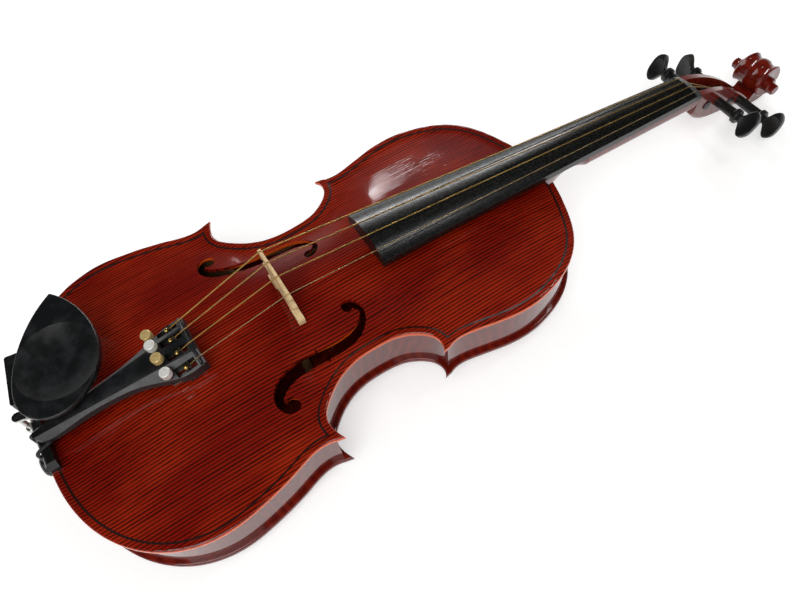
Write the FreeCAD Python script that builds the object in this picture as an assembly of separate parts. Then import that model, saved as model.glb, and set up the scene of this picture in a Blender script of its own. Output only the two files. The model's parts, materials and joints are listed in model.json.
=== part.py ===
"""Full-size violin with a fine-tuner tailpiece and a side-mounted chinrest, as separate solids.

Maker's frame used while modelling, in millimetres: X runs from the bass side to the treble side,
Y runs from the tail of the body to the scroll, Z runs out of the front. The tail edge of the
front plate is at Y = 0 and the upper surface of its edge is at Z = 0. At the end every piece is
tipped and moved together, so that the violin lies on its back on the plane Z = 0.
"""
import FreeCAD, Part
import math
import os

V = FreeCAD.Vector
os.makedirs("parts", exist_ok=True)

# ---------------------------------------------------------------- driving dimensions
# Body
BODY_LENGTH = 356.0
LOWER_BOUT_HALF = 102.5
WAIST_HALF = 53.7
UPPER_BOUT_HALF = 83.4
RIB_HEIGHT = 31.0
RIB_THICKNESS = 1.2
EDGE_THICKNESS = 4.0
EDGE_OVERHANG = 2.8
EDGE_ROUNDING = 1.3
EDGE_CREST = 2.2            # inset at which the fluting starts
PLATE_THICKNESS = 2.8
FRONT_ARCH = 11.5
BACK_ARCH = 11.0
FLUTE_DEPTH = 1.0
FLUTE_INSET = 7.0
PLATE_GRID = 4.0            # spacing of the arching's surface grid
GLUE_MARGIN = 8.5           # flat glued band inside the edge
PURFLING_INSET = 4.0
PURFLING_WIDTH = 1.3
PURFLING_DEPTH = 1.6
LINING_WIDTH = 2.0
LINING_HEIGHT = 7.0
BUTTON_RADIUS = 10.8
BUTTON_REACH = 13.0

# Inside the body
BLOCK_WIDTH = 54.0
BLOCK_DEPTH = 16.0
BLOCK_ROUNDING = 5.0
CORNER_BLOCK_RADIUS = 17.0
BASS_BAR_LENGTH = 270.0
BASS_BAR_WIDTH = 5.5
BASS_BAR_HEIGHT = 11.0
BASS_BAR_X = -16.0
SOUND_POST_RADIUS = 3.1
SOUND_POST_X = 19.0
SOUND_POST_BEHIND_BRIDGE = 6.0
SEAT_GAP = 0.05             # sprung or glued pieces stop this far from a curved seat

# Sound holes
F_UPPER_EYE_RADIUS = 3.5
F_LOWER_EYE_RADIUS = 4.4
F_NICK = 1.6

# Neck, fingerboard and nut
NECK_LENGTH = 130.0         # body edge to the nut's string edge
NECK_ANGLE = math.atan(0.130)
CREST_AT_BODY = 13.0        # fingerboard crest above the plate edge, at the body's end
NECK_BACK_DEPTH = 12.8      # neck wood under the fingerboard
HEEL_WIDTH = 22.0
HEEL_CURVE = 17.0
HEEL_MORTISE = 6.0
BOARD_LENGTH = 266.5
BOARD_NUT_WIDTH = 24.0
BOARD_END_WIDTH = 42.0
BOARD_RADIUS = 42.0
BOARD_EDGE = 4.6
NUT_LENGTH = 5.5
NUT_RISE = 0.6              # nut above the fingerboard's crest
NUT_SPACING = 16.5

# Pegbox, scroll and pegs
PEGBOX_LENGTH = 66.0
PEGBOX_START_WIDTH = 24.0
PEGBOX_END_WIDTH = 16.0
PEGBOX_WALL = 4.6
PEGBOX_FLOOR = 3.6
PEGBOX_RIM_START = -3.2     # height of the cheeks at the nut, in the neck's own frame
PEGBOX_FALL = 0.05          # slope of the rim at the nut
PEGBOX_DROP = 26.5          # further fall of the rim along its curve to the throat
PEGBOX_CURVE = 1.8
PEGBOX_BACK = ((6.0, -27.8), (32.4, -36.1))    # places past the nut and heights
PEGBOX_FLOOR_START = -18.0
PEGBOX_ROOM_END = 66.0
THROAT_LENGTH = 5.0
SCROLL_EYE_Y = 218.0        # in the neck's own frame
SCROLL_EYE_Z = -26.5
SCROLL_RADIUS = 20.5
SCROLL_TURNS = 2.25
SCROLL_SHRINK = 0.46        # radius left after each full turn
SCROLL_EYE_RADIUS = 4.2
SCROLL_EYE_WIDTH = 41.0
PEG_PLACES = (13.0, 27.5, 46.0, 58.5)          # past the nut
PEG_DEPTHS = (12.5, 10.8, 9.6, 5.8)            # below the cheeks' rim
PEG_RADIUS = 3.6
PEG_TAPER = 0.017           # radius lost for each mm along the shank
PEG_FIT = 0.05
PEG_HEAD_OUT = (27.0, 27.0, 25.5, 30.0)        # centreline to the collar
PEG_TIP_PROUD = 0.8
COIL_GAP = 0.02
COIL_START = 0.5            # inner end of a winding, on the head's side of the centre
PEG_COLLAR_RADIUS = 5.6
PEG_COLLAR_LENGTH = 4.0
PEG_HEAD_LENGTH = 15.0
PEG_HEAD_WIDTH = 21.5
PEG_HEAD_THICKNESS = 5.6

# Bridge
STOP_LENGTH = 195.5         # upper edge of the body to the bridge
BRIDGE_HEIGHT = 33.0
BRIDGE_FOOT_SPAN = 41.0
BRIDGE_CROWN_SPAN = 40.0
BRIDGE_RADIUS = 42.0
BRIDGE_FOOT_THICKNESS = 4.4
BRIDGE_TOP_THICKNESS = 1.5
BRIDGE_SPACING = 34.0
BRIDGE_TREBLE_DROP = 2.0

# Strings, bass to treble
STRING_NAMES = ("g", "d", "a", "e")
STRING_RADII = (0.43, 0.40, 0.35, 0.25)
STRING_BEND = 2.0
STRING_CLEAR = 0.2
COIL_TURNS = 5

# Tailpiece, fine tuners, saddle and end button
TAIL_LENGTH = 101.0
TAIL_START_Y = 2.5
TAIL_END_Z = 15.5           # crest at the narrow end
TAIL_HEAD_Z = 26.5          # crest at the bridge end
TAIL_HEAD_WIDTH = 36.5
TAIL_WAIST_WIDTH = 15.0
TAIL_TIP_WIDTH = 12.5
TAIL_THICKNESS = 6.0
TAIL_CROWN = 34.0
TAIL_RIDGE = 9.5            # half distance between the two ridges, bridge end
TAIL_RIDGE_END = 1.6        # and tail end
TAIL_SLOPE_HEAD = 0.45      # fall of the sides, bridge end
TAIL_SLOPE_END = 0.9        # and tail end
TAIL_SPACING = 28.5
SLOT_WIDTH = 5.0
SLOT_START = 4.5
SLOT_LENGTH = 13.0
FRET_RADIUS = 1.0
FRET_SETBACK = 2.2
KNOB_SETBACK = 21.0
KNOB_RADIUS = 3.3
KNOB_LENGTH = 4.6
KNOB_RISE = 2.6
SCREW_RADIUS = 1.1
SCREW_FIT = 0.05
LEVER_WIDTH = 3.6
LEVER_PIN_RADIUS = 0.75
LEVER_PIN_FIT = 0.05
LEVER_PIN_SETBACK = 11.0
BALL_RADIUS = 1.5
SADDLE_LENGTH = 36.0
SADDLE_DEPTH = 6.5
SADDLE_HEIGHT = 6.0
BUTTON_HEAD_RADIUS = 7.0
BUTTON_HEAD_LENGTH = 6.5
BUTTON_NECK_RADIUS = 5.2
BUTTON_SHANK_RADIUS = 3.8
BUTTON_SHANK_LENGTH = 16.0
TAILGUT_RADIUS = 1.1
TAILGUT_SPACING = 8.0

# Chinrest
CHINREST_CENTRE_X = -36.0
CHINREST_CENTRE_Y = 33.0
CHINREST_HALF_LENGTH = 41.5
CHINREST_HALF_WIDTH = 25.0
CHINREST_RIM_Z = 27.0
CHINREST_THICKNESS = 7.0
CHINREST_UNDER = 170.0      # roundness of the underside
CHINREST_BOWL = 62.0        # roundness of the hollow
CHINREST_HOLLOW = 5.2       # depth of the hollow
CHINREST_TURN = 14.0        # degrees, tip towards the waist
CLAMP_SPACING = 25.0
CLAMP_X = -36.0
CLAMP_STAND_OFF = 5.0       # barrel axis outside the rib
BARREL_RADIUS = 2.9
BARREL_LENGTH = 17.0
ROD_RADIUS = 1.6
ROD_FIT = 0.05
FOOT_THICKNESS = 2.0
CORK_THICKNESS = 2.0
CORK_REACH = 7.5            # how far the clamp reaches over the plate's edge
CLAMP_GAP = 0.3             # clamp's lower cork stops this far from the back

# ---------------------------------------------------------------- places worked out from them
BRIDGE_Y = BODY_LENGTH - STOP_LENGTH
BACK_TOP_Z = -EDGE_THICKNESS - RIB_HEIGHT
BACK_EDGE_Z = BACK_TOP_Z - EDGE_THICKNESS
RIB_INNER = EDGE_OVERHANG + RIB_THICKNESS
LINING_INNER = RIB_INNER + LINING_WIDTH


# ---------------------------------------------------------------- small helpers
def spline_edge(points, tangents=None):
    """One interpolated curve through the points."""
    curve = Part.BSplineCurve()
    if tangents:
        curve.interpolate(Points=points, InitialTangent=tangents[0], FinalTangent=tangents[1])
    else:
        curve.interpolate(points)
    return curve.toShape()


def line_edge(a, b):
    return Part.LineSegment(a, b).toShape()


def closed_face(edges):
    return Part.Face(Part.Wire(Part.__sortEdges__(edges)))


def polygon_face(points):
    return Part.Face(Part.makePolygon(list(points) + [points[0]]))


def prism(face, z_low, z_high):
    """The face, drawn at Z = 0, as a block from z_low to z_high."""
    block = face.extrude(V(0, 0, z_high - z_low))
    block.translate(V(0, 0, z_low))
    return block


def box_between(low, high):
    return Part.makeBox(high[0] - low[0], high[1] - low[1], high[2] - low[2], V(*low))


def one_solid(shape):
    """The largest solid of a shape, cleaned of split faces."""
    best = max(shape.Solids, key=lambda solid: solid.Volume)
    return best.removeSplitter()


def sag(radius, half_width):
    """Drop of a circular crown at half_width from its crest."""
    return radius - math.sqrt(radius * radius - half_width * half_width)


def mirrored(points):
    return [V(-p.x, p.y, p.z) for p in points]


def mix(a, b, share):
    return a + (b - a) * share


# ---------------------------------------------------------------- outline of the body
def bout_points():
    """Treble half of the plate's outline: lower bout, waist and upper bout, tail to neck."""
    low = LOWER_BOUT_HALF
    mid = WAIST_HALF
    up = UPPER_BOUT_HALF
    long = BODY_LENGTH
    lower = [(0, 0), (low * 0.33, 0.004 * long), (low * 0.59, 0.026 * long),
             (low * 0.80, 0.067 * long), (low * 0.945, 0.126 * long), (low, 0.199 * long),
             (low * 0.974, 0.262 * long), (low * 0.915, 0.328 * long),
             (low * 0.873, 0.372 * long), (low * 0.885, 0.4015 * long)]
    waist = [(low * 0.896, 0.4165 * long), (low * 0.82, 0.408 * long),
             (low * 0.745, 0.4075 * long), (low * 0.665, 0.4245 * long),
             (mid * 1.10, 0.460 * long), (mid * 1.01, 0.502 * long), (mid, 0.541 * long),
             (mid * 1.03, 0.579 * long), (mid * 1.13, 0.609 * long),
             (up * 0.815, 0.628 * long), (up * 0.89, 0.6315 * long), (up * 0.948, 0.6255 * long)]
    upper = [(up * 0.938, 0.6395 * long), (up * 0.916, 0.659 * long), (up * 0.928, 0.688 * long),
             (up * 0.978, 0.742 * long), (up, 0.800 * long), (up * 0.957, 0.853 * long),
             (up * 0.862, 0.903 * long), (up * 0.70, 0.943 * long), (up * 0.45, 0.972 * long),
             (up * 0.20, 0.990 * long), (0, 0.996 * long)]
    return lower, waist, upper


OUTLINE_END = BODY_LENGTH * 0.996


def half_curves():
    """The three curves of the treble half, in travel order from tail to neck."""
    lower, waist, upper = [[V(x, y, 0) for x, y in points] for points in bout_points()]
    first = Part.BSplineCurve()
    first.interpolate(mirrored(lower[:0:-1]) + lower)
    first.segment((first.FirstParameter + first.LastParameter) / 2, first.LastParameter)
    second = Part.BSplineCurve()
    second.interpolate(waist)
    third = Part.BSplineCurve()
    third.interpolate(upper + mirrored(upper[-2::-1]))
    third.segment(third.FirstParameter, (third.FirstParameter + third.LastParameter) / 2)
    return first, second, third


def offset_samples(curve, distance, count=60):
    """Points along a curve, moved inwards (to the left of travel) by distance."""
    found = []
    first = curve.FirstParameter
    last = curve.LastParameter
    for i in range(count + 1):
        at = mix(first, last, i / count)
        point = curve.value(at)
        tangent = curve.tangent(at)[0]
        found.append(V(point.x - tangent.y * distance, point.y + tangent.x * distance, 0))
    return found


def lengthened(path, at_start, at_end, reach=14.0):
    """An open path run on in a straight line past a corner, so that it meets its neighbour."""
    longer = list(path)
    if at_start:
        longer.insert(0, path[0] + (path[0] - path[1]).normalize() * reach)
    if at_end:
        longer.append(path[-1] + (path[-1] - path[-2]).normalize() * reach)
    return longer


def crossing(a, b, c, d):
    """Where segment ab meets segment cd, or None."""
    r = b - a
    s = d - c
    area = r.x * s.y - r.y * s.x
    if abs(area) < 1e-12:
        return None
    t = ((c.x - a.x) * s.y - (c.y - a.y) * s.x) / area
    u = ((c.x - a.x) * r.y - (c.y - a.y) * r.x) / area
    if 0 <= t <= 1 and 0 <= u <= 1:
        return a + r * t
    return None


def first_crossing(path, other):
    """Indices and place of the crossing of two polylines that is nearest the path's end."""
    for i in range(len(path) - 2, -1, -1):
        for j in range(len(other) - 1):
            place = crossing(path[i], path[i + 1], other[j], other[j + 1])
            if place:
                return i, j, place
    return None


def cut_at(path, a, b):
    """The path from where it crosses segment ab onwards, or None if it doesn't."""
    for i in range(len(path) - 1):
        place = crossing(path[i], path[i + 1], a, b)
        if place:
            return [place] + path[i + 1:]
    return None


def trimmed_corner(before, after, tip_before, tip_after, distance):
    """Two offset curves cut at a squared corner, or at the point where they meet first."""
    along = (tip_after - tip_before).normalize()
    inward = V(-along.y, along.x, 0) * distance
    line = (tip_before + inward - along * 30, tip_after + inward + along * 30)
    head = cut_at(before[::-1], *line)
    rest = cut_at(after, *line)
    if head and rest and (rest[0] - head[0]).dot(along) > 0:
        return head[::-1], rest
    i, j, place = first_crossing(before, after)
    return before[:i + 1] + [place], [place] + after[j + 1:]


def thinned(points, step):
    """About one point for each step of length, ends kept."""
    kept = [points[0]]
    for point in points[1:-1]:
        if (point - kept[-1]).Length >= step:
            kept.append(point)
    while len(kept) > 1 and (points[-1] - kept[-1]).Length < step * 0.6:
        kept.pop()
    return kept + [points[-1]]


def inset_half(distance):
    """Treble half of the outline moved inwards by distance, as three lists of points."""
    first, second, third = half_curves()
    lower, waist, upper = [offset_samples(c, distance) for c in (first, second, third)]
    lower_tip = first.value(first.LastParameter)
    waist_low_tip = second.value(second.FirstParameter)
    waist_up_tip = second.value(second.LastParameter)
    upper_tip = third.value(third.FirstParameter)
    lower = lengthened(lower, False, True)
    waist = lengthened(waist, True, True)
    upper = lengthened(upper, True, False)
    lower, waist = trimmed_corner(lower, waist, lower_tip, waist_low_tip, distance)
    waist, upper = trimmed_corner(waist, upper, waist_up_tip, upper_tip, distance)
    return [thinned(points, 6.0) for points in (lower, waist, upper)]


def outline_edges(distance):
    """Closed outline of the body, moved inwards by distance."""
    edges = []
    for side in (1, -1):
        halves = inset_half(distance)
        if side < 0:
            halves = [mirrored(points) for points in halves]
        for points in halves:
            edges.append(spline_edge(points))
        for before, after in zip(halves, halves[1:]):
            if (after[0] - before[-1]).Length > 1e-6:
                edges.append(line_edge(before[-1], after[0]))
    return edges


def outline_face(distance):
    return closed_face(outline_edges(distance))


OUTLINE = {}


def outline_block(distance, z_low, z_high):
    """A block with the body's outline; each inset's face is made once."""
    if distance not in OUTLINE:
        OUTLINE[distance] = outline_face(distance)
    return prism(OUTLINE[distance].copy(), z_low, z_high)


# ---------------------------------------------------------------- arching of the plates
def arch_reach():
    """For each row of the arching grid, the half width at which the arch has died away."""
    edge = [point for half in inset_half(FLUTE_INSET) for point in half]
    rows = []
    count = int(BODY_LENGTH / PLATE_GRID)
    for row in range(-GRID_MARGIN, count + 1 + GRID_MARGIN):
        y = row * OUTLINE_END / count
        near = [p for p in edge if abs(p.y - y) < PLATE_GRID * 2.5]
        if not near or y < FLUTE_INSET or y > OUTLINE_END - FLUTE_INSET:
            rows.append([y, 0.0])
            continue
        crossings = []
        for a, b in zip(edge, edge[1:]):
            if (a.y - y) * (b.y - y) <= 0 and abs(a.y - b.y) > 1e-9:
                crossings.append(mix(a.x, b.x, (y - a.y) / (b.y - a.y)))
        rows.append([y, min(crossings) if crossings else 0.0])
    return smoothed(rows, 12.0)


def smoothed(rows, window):
    """Rows averaged over a window of length that shrinks towards both ends."""
    result = []
    for y, _ in rows:
        reach = min(window, 0.4 * max(0.0, y - FLUTE_INSET),
                    0.4 * max(0.0, OUTLINE_END - FLUTE_INSET - y))
        inside = [v for other, v in rows if abs(other - y) <= reach + 1e-6]
        result.append((y, sum(inside) / len(inside)))
    return result


def edge_samples():
    """Points on the treble half of the outline, each with its inward direction."""
    samples = []
    for curve in half_curves():
        outer = offset_samples(curve, 0, 90)
        inner = offset_samples(curve, 1.0, 90)
        samples.extend((a.x, a.y, b.x - a.x, b.y - a.y) for a, b in zip(outer, inner))
    return samples


def depth_inside(x, y, samples):
    """Distance from the nearest point of the outline, negative outside it."""
    px, py, nx, ny = min(samples, key=lambda s: (s[0] - x) ** 2 + (s[1] - y) ** 2)
    distance = math.hypot(px - x, py - y)
    return distance if (x - px) * nx + (y - py) * ny >= 0 else -distance


def flute(distance):
    """Depth of the fluting at a distance inside the plate's edge."""
    share = (distance - EDGE_CREST) / (FLUTE_INSET - EDGE_CREST)
    share = min(1.0, max(0.0, share))
    return -FLUTE_DEPTH * (0.5 - 0.5 * math.cos(math.pi * share))


def arch_height(x, y, reach, arch):
    """Height of the arch above the fluting's floor."""
    if reach < 1.0 or abs(x) >= reach:
        return 0.0
    along = abs(2 * y / OUTLINE_END - 1) / (1 - 2 * FLUTE_INSET / OUTLINE_END)
    if along >= 1:
        return 0.0
    across = abs(x) / reach
    rise = (1 - along ** 2.6) ** 1.15
    return (arch + FLUTE_DEPTH) * rise * (1 - across ** 2.1) ** 1.75


ARCHING = {}
GRID_MARGIN = 2             # grid steps outside the body on every side


def arching_surface(arch):
    """The plate's outer surface as one patch over the whole body."""
    if arch in ARCHING:
        return ARCHING[arch].copy()
    samples = edge_samples()
    half_count = int(LOWER_BOUT_HALF / PLATE_GRID) + GRID_MARGIN
    columns = [i * PLATE_GRID for i in range(half_count + 1)]
    grid = []
    for y, reach in arch_reach():
        half = []
        for x in columns:
            inside = depth_inside(x, y, samples)
            half.append(flute(inside) + arch_height(x, y, reach, arch))
        grid.append(half[:0:-1] + half)
    heights = [[grid[j][i] for j in range(len(grid))] for i in range(len(grid[0]))]
    surface = Part.BSplineSurface()
    pitch_y = OUTLINE_END / (len(grid) - 1 - 2 * GRID_MARGIN)
    start_y = -GRID_MARGIN * pitch_y
    surface.interpolate(heights, -half_count * PLATE_GRID, PLATE_GRID, start_y, pitch_y)
    ARCHING[arch] = surface.toShape()
    return ARCHING[arch].copy()


def under_surface(face, drop, depth):
    """The material between the arching, lowered by drop, and depth under it."""
    sheet = face.copy()
    sheet.translate(V(0, 0, -drop))
    return sheet.extrude(V(0, 0, -depth))


def blank_plate(arch):
    """An arched, fluted and hollowed plate with a rounded edge, arch upwards."""
    face = arching_surface(arch)
    plate = under_surface(face, 0, 40).common(outline_block(0, -EDGE_THICKNESS, 30))
    rims = [e for e in plate.Edges if e.BoundBox.ZLength < 1.0]
    plate = plate.makeFillet(EDGE_ROUNDING, [e for e in rims if e.BoundBox.ZMax < -2])
    rims = [e for e in plate.Edges if e.BoundBox.ZLength < 1.0 and e.BoundBox.ZMin > -1]
    plate = plate.makeFillet(EDGE_ROUNDING, rims)
    hollow = under_surface(face, PLATE_THICKNESS, 40)
    hollow = hollow.common(outline_block(GLUE_MARGIN, -EDGE_THICKNESS - 1, 30))
    return one_solid(plate.cut(hollow))


def flipped_to_back(shape):
    """A plate made with its arch upwards, turned to be the back."""
    return shape.mirror(V(0, 0, BACK_EDGE_Z / 2), V(0, 0, 1))


# ---------------------------------------------------------------- the body's box
def rib_strip(outer_points, inner_points):
    face = closed_face([spline_edge(outer_points), line_edge(outer_points[-1], inner_points[-1]),
                        spline_edge(inner_points), line_edge(inner_points[0], outer_points[0])])
    return prism(face, BACK_TOP_Z, -EDGE_THICKNESS)


def make_ribs():
    outer = inset_half(EDGE_OVERHANG)
    inner = inset_half(RIB_INNER)
    ribs = {}
    for side, name in ((1, "treble"), (-1, "bass")):
        for part, a, b in zip(("lower", "centre", "upper"), outer, inner):
            if side < 0:
                a, b = mirrored(a), mirrored(b)
            ribs["rib_" + part + "_" + name] = rib_strip(a, b)
    return ribs


def make_linings():
    """Softwood strips that widen the glued edges of the ribs, front and back."""
    strips = []
    for low, high in ((-EDGE_THICKNESS - LINING_HEIGHT, -EDGE_THICKNESS),
                      (BACK_TOP_Z, BACK_TOP_Z + LINING_HEIGHT)):
        ring = outline_block(RIB_INNER, low, high).cut(outline_block(LINING_INNER, low - 1, high + 1))
        strips.append(ring)
    ends = [end_block(0, RIB_INNER + BLOCK_DEPTH), end_block(OUTLINE_END - RIB_INNER - BLOCK_DEPTH, OUTLINE_END)]
    blocks = Part.makeCompound(ends + corner_block_list())
    solids = []
    for ring in strips:
        solids.extend(ring.cut(blocks).Solids)
    return Part.makeCompound([s for s in solids if s.Volume > 20])


def end_block(y_low, y_high):
    block = box_between((-BLOCK_WIDTH / 2, y_low, BACK_TOP_Z), (BLOCK_WIDTH / 2, y_high, -EDGE_THICKNESS))
    return block.common(outline_block(RIB_INNER, BACK_TOP_Z, -EDGE_THICKNESS))


def make_lower_block():
    block = end_block(0, RIB_INNER + BLOCK_DEPTH)
    inner = [e for e in block.Edges
             if e.BoundBox.YMin > BLOCK_DEPTH - 1 and e.BoundBox.ZLength > RIB_HEIGHT / 2]
    block = block.makeFillet(BLOCK_ROUNDING, inner)
    return one_solid(block.cut(button_shank(0)))


def make_upper_block():
    block = end_block(OUTLINE_END - RIB_INNER - BLOCK_DEPTH, OUTLINE_END)
    inner = [e for e in block.Edges if e.BoundBox.YMax < OUTLINE_END - BLOCK_DEPTH + 1
             and e.BoundBox.ZLength > RIB_HEIGHT / 2]
    block = block.makeFillet(BLOCK_ROUNDING, inner)
    return one_solid(block.cut(heel_mortise()))


def corner_block_list():
    """Four blocks that fill the corners of the rib box."""
    inner = inset_half(RIB_INNER)
    blocks = []
    room = outline_block(RIB_INNER, BACK_TOP_Z, -EDGE_THICKNESS)
    for corner in (inner[0][-1], inner[1][-1]):
        for side in (1, -1):
            column = Part.makeCylinder(CORNER_BLOCK_RADIUS, RIB_HEIGHT,
                                       V(side * corner.x, corner.y, BACK_TOP_Z))
            blocks.append(one_solid(room.common(column)))
    return blocks


def make_sound_post():
    place = V(SOUND_POST_X, BRIDGE_Y - SOUND_POST_BEHIND_BRIDGE, BACK_EDGE_Z - BACK_ARCH)
    height = FRONT_ARCH - place.z
    post = Part.makeCylinder(SOUND_POST_RADIUS, height, place)
    inner_front = under_surface(arching_surface(FRONT_ARCH), PLATE_THICKNESS + SEAT_GAP, 60)
    inner_back = flipped_to_back(under_surface(arching_surface(BACK_ARCH), PLATE_THICKNESS + SEAT_GAP, 60))
    return one_solid(post.common(inner_front).common(inner_back))


def make_bass_bar():
    """A long bar under the front, tapering to both ends and sloping with the bass side."""
    start = BRIDGE_Y - BASS_BAR_LENGTH * 0.44
    end = start + BASS_BAR_LENGTH
    top_z = FRONT_ARCH
    shape = [V(0, start, top_z), V(0, end, top_z), V(0, end, -EDGE_THICKNESS + 1.5)]
    deep = -EDGE_THICKNESS - BASS_BAR_HEIGHT * 0.45
    belly = [V(0, end, -EDGE_THICKNESS + 1.5), V(0, BRIDGE_Y, deep), V(0, start, -EDGE_THICKNESS + 1.5)]
    face = closed_face([line_edge(shape[0], shape[1]), line_edge(shape[1], shape[2]),
                        spline_edge(belly), line_edge(belly[-1], shape[0])])
    bar = face.extrude(V(BASS_BAR_WIDTH, 0, 0))
    bar.translate(V(BASS_BAR_X - BASS_BAR_WIDTH / 2, 0, 0))
    seat = under_surface(arching_surface(FRONT_ARCH), PLATE_THICKNESS + SEAT_GAP, 60)
    return one_solid(bar.common(seat))


# ---------------------------------------------------------------- sound holes
def sound_hole_face():
    """The treble sound hole in plan; its stem runs on the line of the bridge."""
    y = BRIDGE_Y
    upper = V(23.6, y + 29.2, 0)
    lower = V(59.6, y - 27.6, 0)
    outer = [V(upper.x - F_UPPER_EYE_RADIUS, upper.y, 0), V(23.0, y + 34.6, 0), V(29.0, y + 37.2, 0),
             V(34.8, y + 35.6, 0), V(39.6, y + 31.3, 0), V(43.2, y + 25.0, 0), V(45.3, y + 14.0, 0),
             V(45.6, y + 3.0, 0), V(46.0, y - 9.0, 0), V(47.8, y - 19.0, 0), V(50.8, y - 26.4, 0),
             V(55.0, y - 31.2, 0)]
    inner = [V(lower.x + F_LOWER_EYE_RADIUS, lower.y, 0), V(62.6, y - 32.8, 0), V(57.0, y - 35.8, 0),
             V(50.6, y - 35.0, 0), V(44.8, y - 30.4, 0), V(40.6, y - 22.4, 0), V(38.3, y - 12.0, 0),
             V(37.7, y + 2.0, 0), V(38.0, y + 14.0, 0), V(36.7, y + 24.0, 0), V(33.6, y + 31.0, 0),
             V(29.6, y + 34.6, 0)]
    stem = closed_face([spline_edge(outer), line_edge(outer[-1], lower), line_edge(lower, inner[0]),
                        spline_edge(inner), line_edge(inner[-1], upper), line_edge(upper, outer[0])])
    shape = stem.fuse([Part.Face(Part.Wire(Part.Circle(upper, V(0, 0, 1), F_UPPER_EYE_RADIUS).toShape())),
                       Part.Face(Part.Wire(Part.Circle(lower, V(0, 0, 1), F_LOWER_EYE_RADIUS).toShape()))])
    for x, sign, at in ((37.9, -1, y - 0.4), (45.4, 1, y + 3.6)):
        shape = shape.fuse(polygon_face([V(x - sign, at - F_NICK, 0), V(x - sign, at + F_NICK, 0),
                                         V(x + sign * F_NICK, at, 0)]))
    return shape.removeSplitter()


def sound_hole_cutters():
    treble = prism(sound_hole_face(), -EDGE_THICKNESS - 5, FRONT_ARCH + 5)
    return [treble, treble.mirror(V(0, 0, 0), V(1, 0, 0))]


# ---------------------------------------------------------------- the neck's own frame
# Origin on the fingerboard's crest above the body's upper edge. Y runs along the crest towards
# the scroll and Z stands square to it.
def from_neck(shape):
    turned = shape.copy()
    turned.rotate(V(0, 0, 0), V(1, 0, 0), -math.degrees(NECK_ANGLE))
    turned.translate(V(0, BODY_LENGTH, CREST_AT_BODY))
    return turned


def neck_point(x, y, z):
    cos = math.cos(NECK_ANGLE)
    sin = math.sin(NECK_ANGLE)
    return V(x, BODY_LENGTH + y * cos + z * sin, CREST_AT_BODY - y * sin + z * cos)


NUT_Y = NECK_LENGTH
NUT_END_Y = NUT_Y + NUT_LENGTH
BOARD_END_Y = NUT_Y - BOARD_LENGTH


def board_half_width(y):
    return mix(BOARD_END_WIDTH, BOARD_NUT_WIDTH, (y - BOARD_END_Y) / BOARD_LENGTH) / 2


def board_under(y):
    """Flat underside of the fingerboard at y."""
    at_end = BOARD_EDGE + sag(BOARD_RADIUS, BOARD_END_WIDTH / 2)
    at_nut = BOARD_EDGE + sag(BOARD_RADIUS, BOARD_NUT_WIDTH / 2)
    return -mix(at_end, at_nut, (y - BOARD_END_Y) / BOARD_LENGTH)


def crowned_wire(y, half_width, crest, under):
    """A fingerboard section: flat below, straight sides and a crowned top."""
    shoulder = crest - sag(BOARD_RADIUS, half_width)
    a, b = V(-half_width, y, under), V(half_width, y, under)
    c, d = V(half_width, y, shoulder), V(-half_width, y, shoulder)
    crown = Part.Arc(c, V(0, y, crest), d).toShape()
    return Part.Wire([line_edge(a, b), line_edge(b, c), crown, line_edge(d, a)])


def make_fingerboard():
    sections = [crowned_wire(y, board_half_width(y), 0, board_under(y)) for y in (BOARD_END_Y, NUT_Y)]
    board = Part.makeLoft(sections, True, True)
    long_edges = [e for e in board.Edges if e.Length > BOARD_LENGTH * 0.9 and e.BoundBox.ZMax > -9
                  and e.Vertexes[0].Z > board_under(e.Vertexes[0].Y) + 1]
    board = board.makeFillet(0.5, long_edges)
    return from_neck(board)


def make_nut(strings):
    sections = [crowned_wire(NUT_Y, BOARD_NUT_WIDTH / 2, NUT_RISE, board_under(NUT_Y)),
                crowned_wire(NUT_END_Y, BOARD_NUT_WIDTH / 2, -0.9, board_under(NUT_Y))]
    return one_solid(from_neck(Part.makeLoft(sections, True, True)).cut(strings))


def neck_wire(y, half_width, top, depth):
    """A neck section: flat glued top and a rounded back."""
    side = top - depth * 0.30
    a, b = V(-half_width, y, top), V(half_width, y, top)
    c, d = V(half_width, y, side), V(-half_width, y, side)
    low = top - depth
    back = spline_edge([c, V(half_width * 0.80, y, mix(side, low, 0.62)),
                        V(half_width * 0.40, y, mix(side, low, 0.93)), V(0, y, low),
                        V(-half_width * 0.40, y, mix(side, low, 0.93)),
                        V(-half_width * 0.80, y, mix(side, low, 0.62)), d])
    return Part.Wire([line_edge(a, b), line_edge(b, c), back, line_edge(d, a)])


def make_handle():
    """The rounded length of the neck, from the pegbox to the start of the heel's curve."""
    start = HEEL_CURVE + 12.0
    sections = []
    for y in (start, mix(start, NUT_END_Y, 0.5), NUT_END_Y):
        sections.append(neck_wire(y, board_half_width(y), board_under(min(y, NUT_Y)), NECK_BACK_DEPTH))
    return Part.makeLoft(sections, True, False)


def make_heel():
    """The heel: the handle's section swept round a curve down to the back's button."""
    start = HEEL_CURVE + 12.0
    centre_z = board_under(start) - NECK_BACK_DEPTH - HEEL_CURVE
    wires = []
    for share in (0.0, 0.2, 0.4, 0.6, 0.8, 1.0):
        half = mix(board_half_width(start), HEEL_WIDTH / 2, share ** 0.8)
        depth = mix(NECK_BACK_DEPTH, 40.0, min(1.0, 2 * share))
        wire = neck_wire(0, half, HEEL_CURVE + depth, depth)
        wire.rotate(V(0, 0, 0), V(1, 0, 0), 88.0 * share)
        wire.translate(V(0, start, centre_z))
        wires.append(wire)
    heel = Part.makeLoft(wires, True, False)
    end = Part.Face(wires[-1]).extrude(V(0, 0, -30))
    return heel.fuse(end)


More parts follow.
